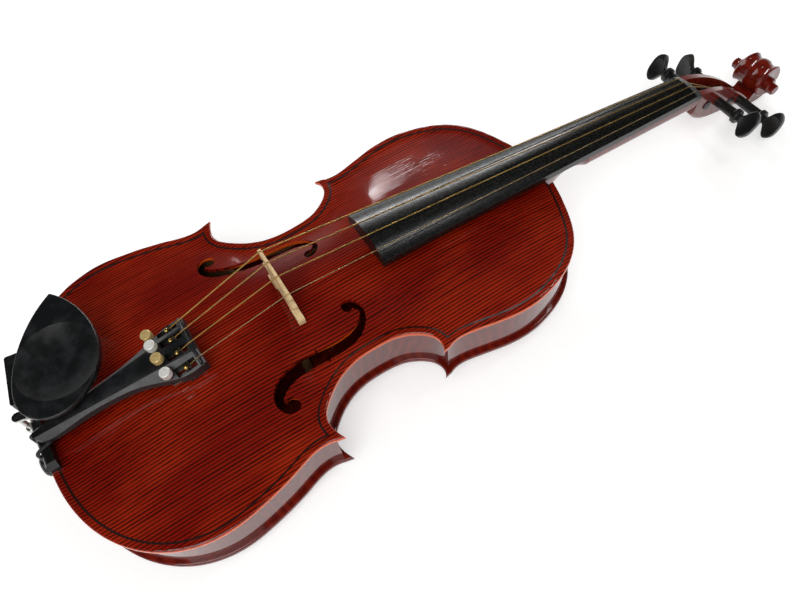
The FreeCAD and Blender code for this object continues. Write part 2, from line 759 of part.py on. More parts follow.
def heel_mortise():
    """Room for the heel in the ribs, the upper block and the front."""
    half = board_half_width(0)
    low = HEEL_WIDTH / 2
    top = CREST_AT_BODY + board_under(0) + 6
    section = polygon_face([V(-half, 0, top), V(half, 0, top), V(half, 0, -EDGE_THICKNESS),
                            V(low, 0, BACK_TOP_Z), V(-low, 0, BACK_TOP_Z), V(-half, 0, -EDGE_THICKNESS)])
    block = section.extrude(V(0, 60, 0))
    block.translate(V(0, OUTLINE_END - HEEL_MORTISE, 0))
    return block


def trimmed_heel(heel):
    """The heel cut to the fingerboard's underside, the button and the mortise."""
    above = Part.makeBox(80, 400, 60, V(-40, -200, 0))
    tilt = math.degrees(math.atan2(board_under(NUT_Y) - board_under(BOARD_END_Y), BOARD_LENGTH))
    above.rotate(V(0, 0, 0), V(1, 0, 0), tilt)
    above.translate(V(0, 0, board_under(0)))
    heel = from_neck(heel.cut(above))
    behind = box_between((-60, 0, -80), (60, OUTLINE_END - HEEL_MORTISE, 60))
    under = box_between((-60, 0, -120), (60, BODY_LENGTH + 60, BACK_TOP_Z))
    heel = heel.cut([behind, under])
    body_side = box_between((-60, OUTLINE_END - HEEL_MORTISE, -60), (60, OUTLINE_END - EDGE_OVERHANG, 60))
    return heel.cut(body_side.cut(heel_mortise()))


def pegbox_rim(y):
    """Height of the cheeks' upper edges: nearly level at the nut, steep at the throat."""
    out = max(0.0, y - NUT_END_Y)
    return PEGBOX_RIM_START - PEGBOX_FALL * out - PEGBOX_DROP * (out / PEGBOX_LENGTH) ** PEGBOX_CURVE


def pegbox_half_width(y):
    return mix(PEGBOX_START_WIDTH, PEGBOX_END_WIDTH, (y - NUT_END_Y) / PEGBOX_LENGTH) / 2


def make_pegbox():
    """Two cheeks and a floor, narrowing towards the scroll."""
    start = NUT_END_Y
    end = start + PEGBOX_LENGTH + 6
    low = SCROLL_EYE_Z - SCROLL_RADIUS * 0.93
    rim = [V(0, mix(start, end, share), pegbox_rim(mix(start, end, share))) for share in (0, 0.2, 0.4, 0.6, 0.8, 1)]
    throat = [V(0, end + THROAT_LENGTH, rim[-1].z + 1.0), V(0, end + THROAT_LENGTH, low + 1.2)]
    back = [V(0, end, low)]
    back += [V(0, start + place, height) for place, height in PEGBOX_BACK[::-1]]
    back.append(V(0, start - 1, board_under(NUT_Y) - NECK_BACK_DEPTH - 2.0))
    face = closed_face([spline_edge(rim), line_edge(rim[-1], throat[0]), line_edge(throat[0], throat[1]),
                        line_edge(throat[1], back[0]), spline_edge(back), line_edge(back[-1], rim[0])])
    side = face.extrude(V(60, 0, 0))
    side.translate(V(-30, 0, 0))
    tail = end + THROAT_LENGTH
    plan = polygon_face([V(-pegbox_half_width(start), start - 2, 0), V(pegbox_half_width(start), start - 2, 0),
                         V(pegbox_half_width(tail), tail, 0), V(-pegbox_half_width(tail), tail, 0)])
    outer = side.common(prism(plan, -90, 40))
    back_edges = [e for e in outer.Edges if e.Length > PEGBOX_LENGTH * 0.8 and e.BoundBox.ZMax < -15]
    outer = outer.makeFillet(3.0, back_edges)
    inner_start = start
    inner_end = start + PEGBOX_ROOM_END
    a = pegbox_half_width(inner_start) - PEGBOX_WALL
    b = pegbox_half_width(inner_end) - PEGBOX_WALL * 0.85
    room = prism(polygon_face([V(-a, inner_start, 0), V(a, inner_start, 0), V(b, inner_end, 0),
                               V(-b, inner_end, 0)]), -90, 40)
    deep = [V(0, start + place, height + PEGBOX_FLOOR) for place, height in PEGBOX_BACK]
    deep[0] = V(0, start - 5, PEGBOX_FLOOR_START)
    deep.append(V(0, end, low + PEGBOX_FLOOR))
    tall = [V(0, start - 5, 60), V(0, end, 60)]
    above = closed_face([line_edge(tall[0], tall[1]), line_edge(tall[1], deep[-1]), spline_edge(deep[::-1]),
                         line_edge(deep[0], tall[0])])
    above = above.extrude(V(60, 0, 0))
    above.translate(V(-30, 0, 0))
    return outer.cut(room.common(above))


def scroll_radius(turn):
    """Outer radius of the volute; turn is counted from the lowest point of its back."""
    return SCROLL_RADIUS * SCROLL_SHRINK ** turn


def scroll_half_width(turn):
    share = min(1.0, max(0.0, turn / SCROLL_TURNS))
    return mix(PEGBOX_END_WIDTH / 2 + 0.5, SCROLL_EYE_WIDTH / 2 - 1.5, share ** 0.9)


def scroll_section(turn):
    """Section of the volute's band: a ridge and two flutes outside, square sides."""
    outer = scroll_radius(turn)
    inner = max(scroll_radius(turn + 1) - 0.4, 0.5)
    half = scroll_half_width(turn)
    dip = min(1.1, 0.10 * (outer - inner) + 0.3)
    corner = min(1.0, 0.3 * (outer - inner))
    points = [V(half - corner, 0, outer), V(half * 0.5, 0, outer - dip), V(0, 0, outer - 0.15),
              V(-half * 0.5, 0, outer - dip), V(-half + corner, 0, outer)]
    edges = [Part.Arc(points[0], V(half * 0.72, 0, outer - dip), V(half * 0.18, 0, outer - 0.3)).toShape(),
             Part.Arc(V(half * 0.18, 0, outer - 0.3), points[2], V(-half * 0.18, 0, outer - 0.3)).toShape(),
             Part.Arc(V(-half * 0.18, 0, outer - 0.3), V(-half * 0.72, 0, outer - dip), points[4]).toShape(),
             line_edge(points[4], V(-half, 0, outer - corner)),
             line_edge(V(-half, 0, outer - corner), V(-half, 0, inner)),
             line_edge(V(-half, 0, inner), V(half, 0, inner)),
             line_edge(V(half, 0, inner), V(half, 0, outer - corner)),
             line_edge(V(half, 0, outer - corner), points[0])]
    wire = Part.Wire(edges)
    wire.rotate(V(0, 0, 0), V(1, 0, 0), 180.0 + 360.0 * turn)
    wire.translate(V(0, SCROLL_EYE_Y, SCROLL_EYE_Z))
    return wire


def make_scroll():
    """The volute as a band that winds in towards its eye and widens as it goes."""
    pieces = []
    step = 1.0 / 12
    lead = -0.08
    turns = [lead + i * step for i in range(int((SCROLL_TURNS - lead) / step) + 1)]
    for start in range(0, len(turns) - 1, 6):
        wires = [scroll_section(t) for t in turns[start:start + 7]]
        if len(wires) > 1:
            pieces.append(Part.makeLoft(wires, True, False))
    eye = Part.makeCylinder(SCROLL_EYE_RADIUS, SCROLL_EYE_WIDTH,
                            V(-SCROLL_EYE_WIDTH / 2, SCROLL_EYE_Y, SCROLL_EYE_Z), V(1, 0, 0))
    eye = eye.makeChamfer(0.8, [e for e in eye.Edges if len(e.Vertexes) == 1])
    scroll = eye
    for piece in pieces[::-1]:
        scroll = scroll.fuse(piece)
    return scroll


def make_neck(peg_bores, seated):
    heel = trimmed_heel(make_heel())
    rest = make_handle().fuse(make_pegbox()).fuse(make_scroll())
    whole = one_solid(heel.fuse(from_neck(rest)).cut(peg_bores))
    return one_solid(whole.cut(seated))


# ---------------------------------------------------------------- pegs
# Pegs from the nut onwards: their heads alternate, bass side first.
PEG_STRINGS = ("g", "e", "d", "a")
PEG_REST_TURNS = (62.0, 50.0, 80.0, 66.0)


def peg_axis(index):
    """Middle of a peg's axis, in the neck's frame."""
    y = NUT_END_Y + PEG_PLACES[index]
    return y, pegbox_rim(y) - PEG_DEPTHS[index]


def peg_side(index):
    return -1 if index % 2 == 0 else 1


def peg_radius_at(x, side):
    """Radius of the shank at x; it is PEG_RADIUS at the cheek next to the head."""
    return PEG_RADIUS - PEG_TAPER * (PEGBOX_START_WIDTH / 2 - side * x)


def peg_cone(side, inner_x, outer_x, extra):
    """Shank or bore between two places along the axis, measured towards the head."""
    length = outer_x - inner_x
    return Part.makeCone(peg_radius_at(side * inner_x, side) + extra,
                         peg_radius_at(side * outer_x, side) + extra,
                         length, V(side * inner_x, 0, 0), V(side, 0, 0))


def on_peg_axis(shape, index):
    y, z = peg_axis(index)
    moved = shape.copy()
    moved.translate(V(0, y, z))
    return from_neck(moved)


def peg_bore(index):
    side = peg_side(index)
    return on_peg_axis(peg_cone(side, -PEGBOX_START_WIDTH, PEGBOX_START_WIDTH, PEG_FIT), index)


def peg_head():
    """Thumb piece, drawn with its root at X = 0 and growing along +X."""
    half = PEG_HEAD_WIDTH / 2
    long = PEG_HEAD_LENGTH
    side = [V(0, 3.4, 0), V(long * 0.16, 3.0, 0), V(long * 0.36, half * 0.66, 0),
            V(long * 0.62, half, 0), V(long * 0.86, half * 0.80, 0), V(long, 0, 0)]
    outline = side + [V(p.x, -p.y, 0) for p in side[-2::-1]]
    face = closed_face([spline_edge(outline), line_edge(outline[-1], outline[0])])
    head = prism(face, -PEG_HEAD_THICKNESS / 2, PEG_HEAD_THICKNESS / 2)
    head = head.makeFillet(1.2, [e for e in head.Edges if e.Length > long])
    hollow = 30.0
    for side in (1, -1):
        ball = Part.makeSphere(hollow, V(long * 0.62, 0, side * (hollow + PEG_HEAD_THICKNESS / 2 - 0.8)))
        head = head.cut(ball)
    return head


def make_peg(index):
    side = peg_side(index)
    tip_x = -(pegbox_half_width(peg_axis(index)[0]) + PEG_TIP_PROUD)
    out = PEG_HEAD_OUT[index]
    shank = peg_cone(side, tip_x, out, 0)
    collar = Part.makeCylinder(PEG_COLLAR_RADIUS, PEG_COLLAR_LENGTH, V(side * out, 0, 0), V(side, 0, 0))
    collar = collar.makeFillet(1.0, [e for e in collar.Edges if len(e.Vertexes) == 1])
    head = peg_head()
    head.translate(V(out + PEG_COLLAR_LENGTH - 0.5, 0, 0))
    if side < 0:
        head = head.mirror(V(0, 0, 0), V(1, 0, 0))
    head.rotate(V(0, 0, 0), V(1, 0, 0), PEG_REST_TURNS[index])
    return on_peg_axis(one_solid(shank.fuse(collar).fuse(head)), index)


def coil_start_x(index):
    """Inner end of the winding on a peg; it grows towards the head."""
    return peg_side(index) * COIL_START


def make_winding(index, radius):
    side = peg_side(index)
    pitch = 2 * radius + 0.04
    start = coil_start_x(index)
    core = peg_radius_at(start + side * pitch * COIL_TURNS, side) + COIL_GAP
    rings = []
    for turn in range(COIL_TURNS):
        x = start + side * pitch * turn
        rings.append(Part.makeTorus(core + radius, radius, V(x, 0, 0), V(1, 0, 0)))
    sleeve = Part.makeCylinder(core + radius, pitch * (COIL_TURNS - 1), V(start, 0, 0), V(side, 0, 0))
    sleeve = sleeve.cut(Part.makeCylinder(core, 60, V(-30, 0, 0), V(1, 0, 0)))
    return on_peg_axis(one_solid(sleeve.multiFuse(rings)), index)


# ---------------------------------------------------------------- tailpiece's own frame
# Origin on the crest at the bridge end; Y is negative towards the tail of the body.
TAIL_SLOPE = math.asin((TAIL_HEAD_Z - TAIL_END_Z) / TAIL_LENGTH)


def from_tail(shape):
    turned = shape.copy()
    turned.rotate(V(0, 0, 0), V(1, 0, 0), math.degrees(TAIL_SLOPE))
    turned.translate(V(0, TAIL_START_Y + TAIL_LENGTH * math.cos(TAIL_SLOPE), TAIL_HEAD_Z))
    return turned


def tail_point(x, y, z):
    cos = math.cos(TAIL_SLOPE)
    sin = math.sin(TAIL_SLOPE)
    head_y = TAIL_START_Y + TAIL_LENGTH * cos
    return V(x, head_y + y * cos - z * sin, TAIL_HEAD_Z + y * sin + z * cos)


def string_share(name):
    return (STRING_NAMES.index(name) - 1.5) / 3


def tuner_x(name):
    return TAIL_SPACING * string_share(name)


def tuner_crown(name):
    """Height of the tailpiece's crown at a string."""
    return -sag(TAIL_CROWN, abs(tuner_x(name)))


PIN_DROP = 8.4              # tuner pivot under the crown
ARM_TOP_DROP = 6.9          # top of the lever's long arm under the crown
ARM_TAIL = 1.8              # arm beyond the screw
ARM_CLEAR = 0.6
ARM_LIFT = 1.1              # room above the arm when the screw is undone
HOOK_Y = -8.8
BALL_Y = -11.0
BALL_DROP = 1.1


def tail_plan():
    head = TAIL_HEAD_WIDTH / 2
    waist = TAIL_WAIST_WIDTH / 2
    tip = TAIL_TIP_WIDTH / 2
    long = TAIL_LENGTH
    side = [V(head - 0.6, 0, 0), V(head, -long * 0.05, 0), V(head * 0.97, -long * 0.14, 0),
            V(mix(waist, head, 0.62), -long * 0.25, 0), V(mix(waist, head, 0.20), -long * 0.38, 0),
            V(waist * 0.98, -long * 0.52, 0), V(tip * 0.98, -long * 0.74, 0), V(tip, -long * 0.90, 0),
            V(tip * 0.72, -long * 0.97, 0), V(0, -long, 0)]
    return closed_face([spline_edge(side + mirrored(side[-2::-1])), line_edge(side[0], mirrored(side[:1])[0])])


def tail_section(y, ridge, slope):
    """Cross section of the top: a shallow crown between two ridges, and sloping sides."""
    crest = -sag(TAIL_CROWN, ridge)
    low = crest - slope * (TAIL_HEAD_WIDTH - ridge)
    right, side = V(ridge, y, crest), V(TAIL_HEAD_WIDTH, y, low)
    foot = V(TAIL_HEAD_WIDTH, y, -3 * TAIL_HEAD_WIDTH)
    crown = Part.Arc(mirrored([right])[0], V(0, y, 0), right).toShape()
    run = [right, side, foot] + mirrored([foot, side, right])
    return Part.Wire([crown] + [line_edge(p, q) for p, q in zip(run, run[1:])])


def make_tailpiece():
    """A ridged, hollow-backed tailpiece with string slots, tuner bores and pivot lugs."""
    top = Part.makeLoft([tail_section(0.5, TAIL_RIDGE, TAIL_SLOPE_HEAD),
                         tail_section(-TAIL_LENGTH - 0.5, TAIL_RIDGE_END, TAIL_SLOPE_END)], True, True)
    inner = Part.makeCylinder(TAIL_CROWN - TAIL_THICKNESS, TAIL_LENGTH + 4, V(0, -TAIL_LENGTH - 2, -TAIL_CROWN),
                              V(0, 1, 0))
    body = one_solid(prism(tail_plan(), -14, 2).common(top).cut(inner))
    for name in STRING_NAMES:
        x = tuner_x(name)
        crown = tuner_crown(name)
        half = SLOT_WIDTH / 2
        lug = box_between((x - half - 1.6, -LEVER_PIN_SETBACK - 2.4, crown - PIN_DROP - 2.0),
                          (x + half + 1.6, -LEVER_PIN_SETBACK + 2.4, crown - 3))
        body = body.fuse(lug)
    cutters = []
    for name in STRING_NAMES:
        x = tuner_x(name)
        crown = tuner_crown(name)
        half = SLOT_WIDTH / 2
        cutters.append(box_between((x - half, -SLOT_START - SLOT_LENGTH, crown - 14),
                                   (x + half, -SLOT_START, crown + 6)))
        cutters.append(box_between((x - half, -KNOB_SETBACK - ARM_TAIL - ARM_CLEAR, crown - 16),
                                   (x + half, -SLOT_START - SLOT_LENGTH + 1, crown - ARM_TOP_DROP + ARM_LIFT)))
        cutters.append(Part.makeCylinder(LEVER_PIN_RADIUS, SLOT_WIDTH + 8,
                                         V(x - half - 4, -LEVER_PIN_SETBACK, crown - PIN_DROP), V(1, 0, 0)))
        cutters.append(Part.makeCylinder(SCREW_RADIUS + SCREW_FIT, 20, V(x, -KNOB_SETBACK, crown - 14)))
    fret_seat = Part.makeTorus(TAIL_CROWN, FRET_RADIUS, V(0, -FRET_SETBACK, -TAIL_CROWN), V(0, 1, 0))
    body = body.cut(cutters + [fret_seat])
    return one_solid(from_tail(body).cut(tailgut_solid()))


def make_tailpiece_fret(strings):
    ring = Part.makeTorus(TAIL_CROWN, FRET_RADIUS, V(0, -FRET_SETBACK, -TAIL_CROWN), V(0, 1, 0))
    half = TAIL_HEAD_WIDTH / 2 - 1.0
    bar = ring.common(box_between((-half, -6, -12), (half, 2, 3)))
    return one_solid(from_tail(bar).cut(strings))


def make_lever(name):
    """Two-armed lever: a hook up through the slot and a long arm under the screw."""
    x = tuner_x(name)
    crown = tuner_crown(name)
    pin_z = crown - PIN_DROP
    profile = [V(0, -KNOB_SETBACK - ARM_TAIL, crown - ARM_TOP_DROP), V(0, -LEVER_PIN_SETBACK - 1.9, crown - ARM_TOP_DROP),
               V(0, HOOK_Y - 0.7, crown - 4.2), V(0, HOOK_Y - 0.7, crown + 0.6), V(0, HOOK_Y + 0.7, crown + 0.6),
               V(0, HOOK_Y + 0.7, pin_z + 0.4), V(0, -LEVER_PIN_SETBACK, pin_z - 1.6),
               V(0, -KNOB_SETBACK - ARM_TAIL, crown - ARM_TOP_DROP - 1.4)]
    lever = polygon_face(profile).extrude(V(LEVER_WIDTH, 0, 0))
    lever.translate(V(x - LEVER_WIDTH / 2, 0, 0))
    slit = STRING_RADII[STRING_NAMES.index(name)] + 0.35
    cuts = [box_between((x - slit, HOOK_Y - 2, crown - BALL_DROP - slit - 0.3), (x + slit, HOOK_Y + 2, crown + 3)),
            Part.makeCylinder(LEVER_PIN_RADIUS + LEVER_PIN_FIT, 20, V(x - 10, -LEVER_PIN_SETBACK, pin_z), V(1, 0, 0))]
    return from_tail(one_solid(lever.cut(cuts)))


def make_ball_end(name):
    """The brass ball that holds a string in its lever, bored for the string."""
    radius = STRING_RADII[STRING_NAMES.index(name)]
    centre = V(tuner_x(name), BALL_Y, tuner_crown(name) - BALL_DROP)
    ball = Part.makeSphere(BALL_RADIUS, centre)
    bore = Part.makeCylinder(radius + 0.3, 8, centre + V(0, -0.8, 0), V(0, 1, 0.12))
    return from_tail(one_solid(ball.cut(bore)))


def make_tuner_pins():
    pins = []
    for name in STRING_NAMES:
        reach = SLOT_WIDTH / 2 + 1.5
        start = V(tuner_x(name) - reach, -LEVER_PIN_SETBACK, tuner_crown(name) - PIN_DROP)
        pins.append(Part.makeCylinder(LEVER_PIN_RADIUS, 2 * reach, start, V(1, 0, 0)))
    return from_tail(Part.makeCompound(pins))


def knob_base(name):
    return tuner_crown(name) + KNOB_RISE


def make_screw(name):
    """Threaded shank with a coned tip that bears on the lever."""
    tip = tuner_crown(name) - ARM_TOP_DROP + SCREW_FIT
    top = knob_base(name) + KNOB_LENGTH - 1.2
    at = V(tuner_x(name), -KNOB_SETBACK, tip)
    cone = Part.makeCone(0.25, SCREW_RADIUS, 0.9, at)
    shank = Part.makeCylinder(SCREW_RADIUS, top - tip - 0.9, at + V(0, 0, 0.9))
    return from_tail(one_solid(cone.fuse(shank)))


def make_knob(name):
    """Knurled thumb wheel of a fine tuner."""
    base = V(tuner_x(name), -KNOB_SETBACK, knob_base(name))
    knob = Part.makeCylinder(KNOB_RADIUS, KNOB_LENGTH, base)
    knob = knob.makeFillet(0.6, [e for e in knob.Edges if len(e.Vertexes) == 1])
    grooves = []
    for i in range(18):
        angle = 2 * math.pi * i / 18
        centre = base + V(math.cos(angle), math.sin(angle), 0) * (KNOB_RADIUS + 0.12)
        grooves.append(Part.makeCylinder(0.32, KNOB_LENGTH + 1, centre - V(0, 0, 0.5)))
    socket = Part.makeCylinder(SCREW_RADIUS + SCREW_FIT, KNOB_LENGTH - 1.2 + SCREW_FIT, base)
    return from_tail(one_solid(knob.cut(grooves + [socket])))


# ---------------------------------------------------------------- strings
def routed_wire(points, bend):
    """Straight runs through the points, joined by arcs of the bend radius."""
    edges = []
    at = points[0]
    for before, corner, after in zip(points, points[1:], points[2:]):
        back = (before - corner).normalize()
        ahead = (after - corner).normalize()
        turn = math.pi - back.getAngle(ahead)
        cut = bend * math.tan(turn / 2)
        start = corner + back * cut
        end = corner + ahead * cut
        inner = (back + ahead).normalize()
        middle = corner + inner * (bend / math.cos(turn / 2) - bend)
        edges.append(line_edge(at, start))
        edges.append(Part.Arc(start, middle, end).toShape())
        at = end
    edges.append(line_edge(at, points[-1]))
    return Part.Wire(edges)


def cord_along(wire, radius):
    first = wire.Edges[0]
    start = first.valueAt(first.FirstParameter)
    circle = Part.Wire(Part.Circle(start, first.tangentAt(first.FirstParameter), radius).toShape())
    return wire.makePipeShell([circle], True, False, 1)


def bridge_crown(x):
    """Height of the bridge's crown at x."""
    drop = BRIDGE_TREBLE_DROP * (0.5 + x / BRIDGE_SPACING)
    return FRONT_ARCH + BRIDGE_HEIGHT - sag(BRIDGE_RADIUS, abs(x)) - drop


def string_points(name):
    radius = STRING_RADII[STRING_NAMES.index(name)]
    share = string_share(name)
    seat = 0.4 * radius
    crown = tuner_crown(name)
    fret = tail_point(tuner_x(name), -FRET_SETBACK, crown + FRET_RADIUS + seat)
    end = tail_point(tuner_x(name), BALL_Y + 0.6, crown - BALL_DROP)
    bridge_x = BRIDGE_SPACING * share
    bridge = V(bridge_x, BRIDGE_Y, bridge_crown(bridge_x) + seat)
    nut_x = NUT_SPACING * share
    nut = neck_point(nut_x, NUT_Y + 0.8, NUT_RISE - sag(BOARD_RADIUS, abs(nut_x)) + seat)
    index = PEG_STRINGS.index(name)
    side = peg_side(index)
    y, z = peg_axis(index)
    lane = coil_start_x(index) - side * (2 * radius + STRING_CLEAR)
    top = z + peg_radius_at(lane, side) + radius + STRING_CLEAR
    return [end, fret, bridge, nut, neck_point(lane, y, top)]


def make_string(name):
    radius = STRING_RADII[STRING_NAMES.index(name)]
    return cord_along(routed_wire(string_points(name), STRING_BEND), radius)


# ---------------------------------------------------------------- bridge
def make_bridge(strings):
    """Two-footed bridge with a heart and side cut-outs, thin at its crown."""
    base = FRONT_ARCH
    foot = BRIDGE_FOOT_SPAN / 2
    crown = BRIDGE_CROWN_SPAN / 2
    tall = BRIDGE_HEIGHT
    outer = [(foot, -6), (foot, 0.6), (foot - 2.2, 2.6), (foot - 7.2, 4.2), (foot - 8.0, 8.0),
             (foot - 8.6, 11.5), (foot - 6.6, 14.4), (foot - 3.6, 14.6), (foot - 2.0, 12.4),
             (foot - 1.2, 15.0), (foot - 3.4, 17.6), (foot - 8.0, 18.2), (foot - 10.6, 20.6),
             (foot - 8.6, 23.6), (foot - 4.6, 23.4), (foot - 2.8, 21.2), (foot - 1.3, 24.6)]
    inner = [(foot - 11.6, -6), (foot - 11.6, 0.5), (foot - 12.2, 4.0), (foot - 15.6, 6.3), (0, 7.2)]
    right_outer = [V(x, 0, base + z) for x, z in outer]
    right_inner = [V(x, 0, base + z) for x, z in inner]
    treble = V(crown, 0, bridge_crown(crown))
    bass = V(-crown, 0, bridge_crown(-crown))
    edges = [line_edge(right_outer[0], right_outer[1]), spline_edge(right_outer[1:]),
             line_edge(right_outer[-1], treble)]
    edges += [line_edge(mirrored(right_outer[:1])[0], mirrored(right_outer[1:2])[0]),
              spline_edge(mirrored(right_outer[1:])), line_edge(mirrored(right_outer[-1:])[0], bass)]
    edges.append(Part.Arc(bass, V(0, 0, bridge_crown(0)), treble).toShape())
    edges.append(line_edge(right_inner[0], right_outer[0]))
    edges.append(line_edge(mirrored(right_inner[:1])[0], mirrored(right_outer[:1])[0]))
    arch = right_inner[1:] + mirrored(right_inner[-2:0:-1])
    edges.append(line_edge(right_inner[0], right_inner[1]))
    edges.append(spline_edge(arch))
    edges.append(line_edge(arch[-1], mirrored(right_inner[:1])[0]))
    blank = closed_face(edges).extrude(V(0, BRIDGE_FOOT_THICKNESS, 0))
    heart = [Part.makeCylinder(2.3, 12, V(x, -2, base + 19.4), V(0, 1, 0)) for x in (-2.0, 2.0)]
    point = polygon_face([V(-4.1, -2, base + 18.5), V(4.1, -2, base + 18.5), V(0, -2, base + 12.6)])
    heart.append(point.extrude(V(0, 12, 0)))
    blank = blank.cut(heart)
    thin = math.degrees(math.atan((BRIDGE_FOOT_THICKNESS - BRIDGE_TOP_THICKNESS) / tall))
    wedge = Part.makeBox(80, 20, 80, V(-40, 0, 0))
    wedge.rotate(V(0, 0, 0), V(1, 0, 0), thin)
    wedge.translate(V(0, BRIDGE_FOOT_THICKNESS, base + 2.0))
    blank = blank.cut(wedge)
    blank.translate(V(0, BRIDGE_Y - BRIDGE_TOP_THICKNESS / 2, 0))
    seat = under_surface(arching_surface(FRONT_ARCH), -SEAT_GAP, 40)
    return one_solid(blank.cut(seat).cut(strings))


# ---------------------------------------------------------------- saddle, end button and tailgut
BUTTON_Z = BACK_TOP_Z / 2 - EDGE_THICKNESS / 2
GUT_Y = -TAILGUT_RADIUS - 0.2


def button_profile(z_radius_pairs):
    points = [V(0, y, 0) for y in (z_radius_pairs[0][0], z_radius_pairs[-1][0])]
    outer = [V(r, y, 0) for y, r in z_radius_pairs]
    face = polygon_face([points[0]] + outer + [points[1]])
    turned = face.revolve(V(0, 0, 0), V(0, 1, 0), 360)
    turned.translate(V(0, 0, BUTTON_Z))
    return turned


def button_shank(extra):
    return Part.makeCylinder(BUTTON_SHANK_RADIUS + extra, BUTTON_SHANK_LENGTH,
                             V(0, EDGE_OVERHANG, BUTTON_Z), V(0, 1, 0))


def make_end_button():
    neck_out = GUT_Y - TAILGUT_RADIUS - 0.1
    neck_in = GUT_Y + TAILGUT_RADIUS + 0.1
    end = neck_out - BUTTON_HEAD_LENGTH
    big = BUTTON_HEAD_RADIUS
    pairs = [(end, big * 0.55), (end + 0.5, big * 0.80), (end + 1.6, big * 0.96), (end + 2.4, big),
             (neck_out - 0.8, big), (neck_out, big - 0.8), (neck_out, BUTTON_NECK_RADIUS),
             (neck_in, BUTTON_NECK_RADIUS), (neck_in, big - 0.8), (EDGE_OVERHANG, big - 0.8)]
    return one_solid(button_profile(pairs).fuse(button_shank(0)))


def make_saddle_blank():
    """A small bridge for the tailgut, let into the front's edge."""
    bend = 2.5
    top = SADDLE_HEIGHT
    turn = V(0, bend * (1 - math.sqrt(0.5)), top - bend * (1 - math.sqrt(0.5)))
    corners = [V(0, 0, -EDGE_THICKNESS), V(0, 0, top - bend), V(0, bend, top), V(0, SADDLE_DEPTH, top),
               V(0, SADDLE_DEPTH, -EDGE_THICKNESS)]
    edges = [line_edge(corners[0], corners[1]), Part.Arc(corners[1], turn, corners[2]).toShape()]
    edges += [line_edge(p, q) for p, q in zip(corners[2:], corners[3:] + corners[:1])]
    half = SADDLE_LENGTH / 2
    length = closed_face(edges).extrude(V(SADDLE_LENGTH, 0, 0))
    length.translate(V(-half, 0, 0))
    ends = polygon_face([V(-half, -1, -8), V(half, -1, -8), V(half, -1, top - 3.4), V(half - 4, -1, top + 0.6),
                         V(4 - half, -1, top + 0.6), V(-half, -1, top - 3.4)])
    return one_solid(length.common(ends.extrude(V(0, SADDLE_DEPTH + 2, 0))))


def tailgut_wire():
    """From the tailpiece over the saddle, round the button's neck and back."""
    top = SADDLE_HEIGHT + TAILGUT_RADIUS + SEAT_GAP
    loop = BUTTON_NECK_RADIUS + TAILGUT_RADIUS + SEAT_GAP
    half = TAILGUT_SPACING / 2
    start = [V(half, TAIL_START_Y + 16, 12.2), V(half, TAIL_START_Y + 4.5, top), V(loop, GUT_Y, top),
             V(loop, GUT_Y, BUTTON_Z)]
    down = routed_wire(start, 2.6)
    up = routed_wire(mirrored(start[::-1]), 2.6)
    under = Part.Arc(V(loop, GUT_Y, BUTTON_Z), V(0, GUT_Y, BUTTON_Z - loop), V(-loop, GUT_Y, BUTTON_Z)).toShape()
    return Part.Wire(down.Edges + [under] + up.Edges)


def tailgut_solid():
    return cord_along(tailgut_wire(), TAILGUT_RADIUS)


# ---------------------------------------------------------------- chinrest
def edge_place(x):
    """Point of the plate's tail edge at x, with the direction along the edge."""
    first = half_curves()[0]
    samples = offset_samples(first, 0, 120)
    for a, b in zip(samples, samples[1:]):
        if a.x <= abs(x) <= b.x:
            point = a + (b - a) * ((abs(x) - a.x) / (b.x - a.x))
            return point, (b - a).normalize()
    raise ValueError("place outside the lower bout")


def from_clamp(shape):
    """Clamp's frame: X along the edge towards the centre, Y out of the body, Z up."""
    point, along = edge_place(CLAMP_X)
    turned = shape.copy()
    turned.rotate(V(0, 0, 0), V(0, 0, 1), 180.0 - math.degrees(math.atan2(along.y, along.x)))
    turned.translate(V(-point.x, point.y, 0))
    return turned


CLAMP_OUT = CLAMP_STAND_OFF
CLAMP_MID_Z = BUTTON_Z
ROD_UPPER_END = CLAMP_MID_Z + 1.0
ROD_LOWER_END = CLAMP_MID_Z - 2.0
FOOT_TOP_Z = BACK_EDGE_Z - CLAMP_GAP - CORK_THICKNESS
CORK_TOP_Z = CORK_THICKNESS + SEAT_GAP
CORK_LENGTH = CLAMP_SPACING + 8


def rod(side, low, high, radius):
    return Part.makeCylinder(radius, high - low, V(side * CLAMP_SPACING / 2, CLAMP_OUT, low))


def clamp_strip(low, high):
    """A flat strip over the plate's edge that reaches out to both rods."""
    strip = box_between((-CORK_LENGTH / 2, -CORK_REACH, low), (CORK_LENGTH / 2, -1.0, high))
    for side in (1, -1):
        at = side * CLAMP_SPACING / 2
        strip = strip.fuse(box_between((at - 3, -4, low), (at + 3, CLAMP_OUT, high)))
        strip = strip.fuse(Part.makeCylinder(3.0, high - low, V(at, CLAMP_OUT, low)))
    return strip


def make_upper_bracket():
    plate = clamp_strip(CORK_TOP_Z, CORK_TOP_Z + FOOT_THICKNESS)
    rods = [rod(side, ROD_UPPER_END, CORK_TOP_Z + FOOT_THICKNESS, ROD_RADIUS) for side in (1, -1)]
    return from_clamp(one_solid(plate.multiFuse(rods)))


def make_clamp_foot():
    plate = clamp_strip(FOOT_TOP_Z - FOOT_THICKNESS, FOOT_TOP_Z)
    rods = [rod(side, FOOT_TOP_Z - FOOT_THICKNESS, ROD_LOWER_END, ROD_RADIUS) for side in (1, -1)]
    return from_clamp(one_solid(plate.multiFuse(rods)))


def make_clamp_cork():
    cork = box_between((-CORK_LENGTH / 2, -CORK_REACH, FOOT_TOP_Z), (CORK_LENGTH / 2, -1.0, BACK_EDGE_Z - CLAMP_GAP))
    return from_clamp(cork)


def make_chinrest_cork():
    cork = box_between((-CORK_LENGTH / 2, -CORK_REACH, SEAT_GAP), (CORK_LENGTH / 2, -1.0, CORK_TOP_Z))
    return from_clamp(cork)


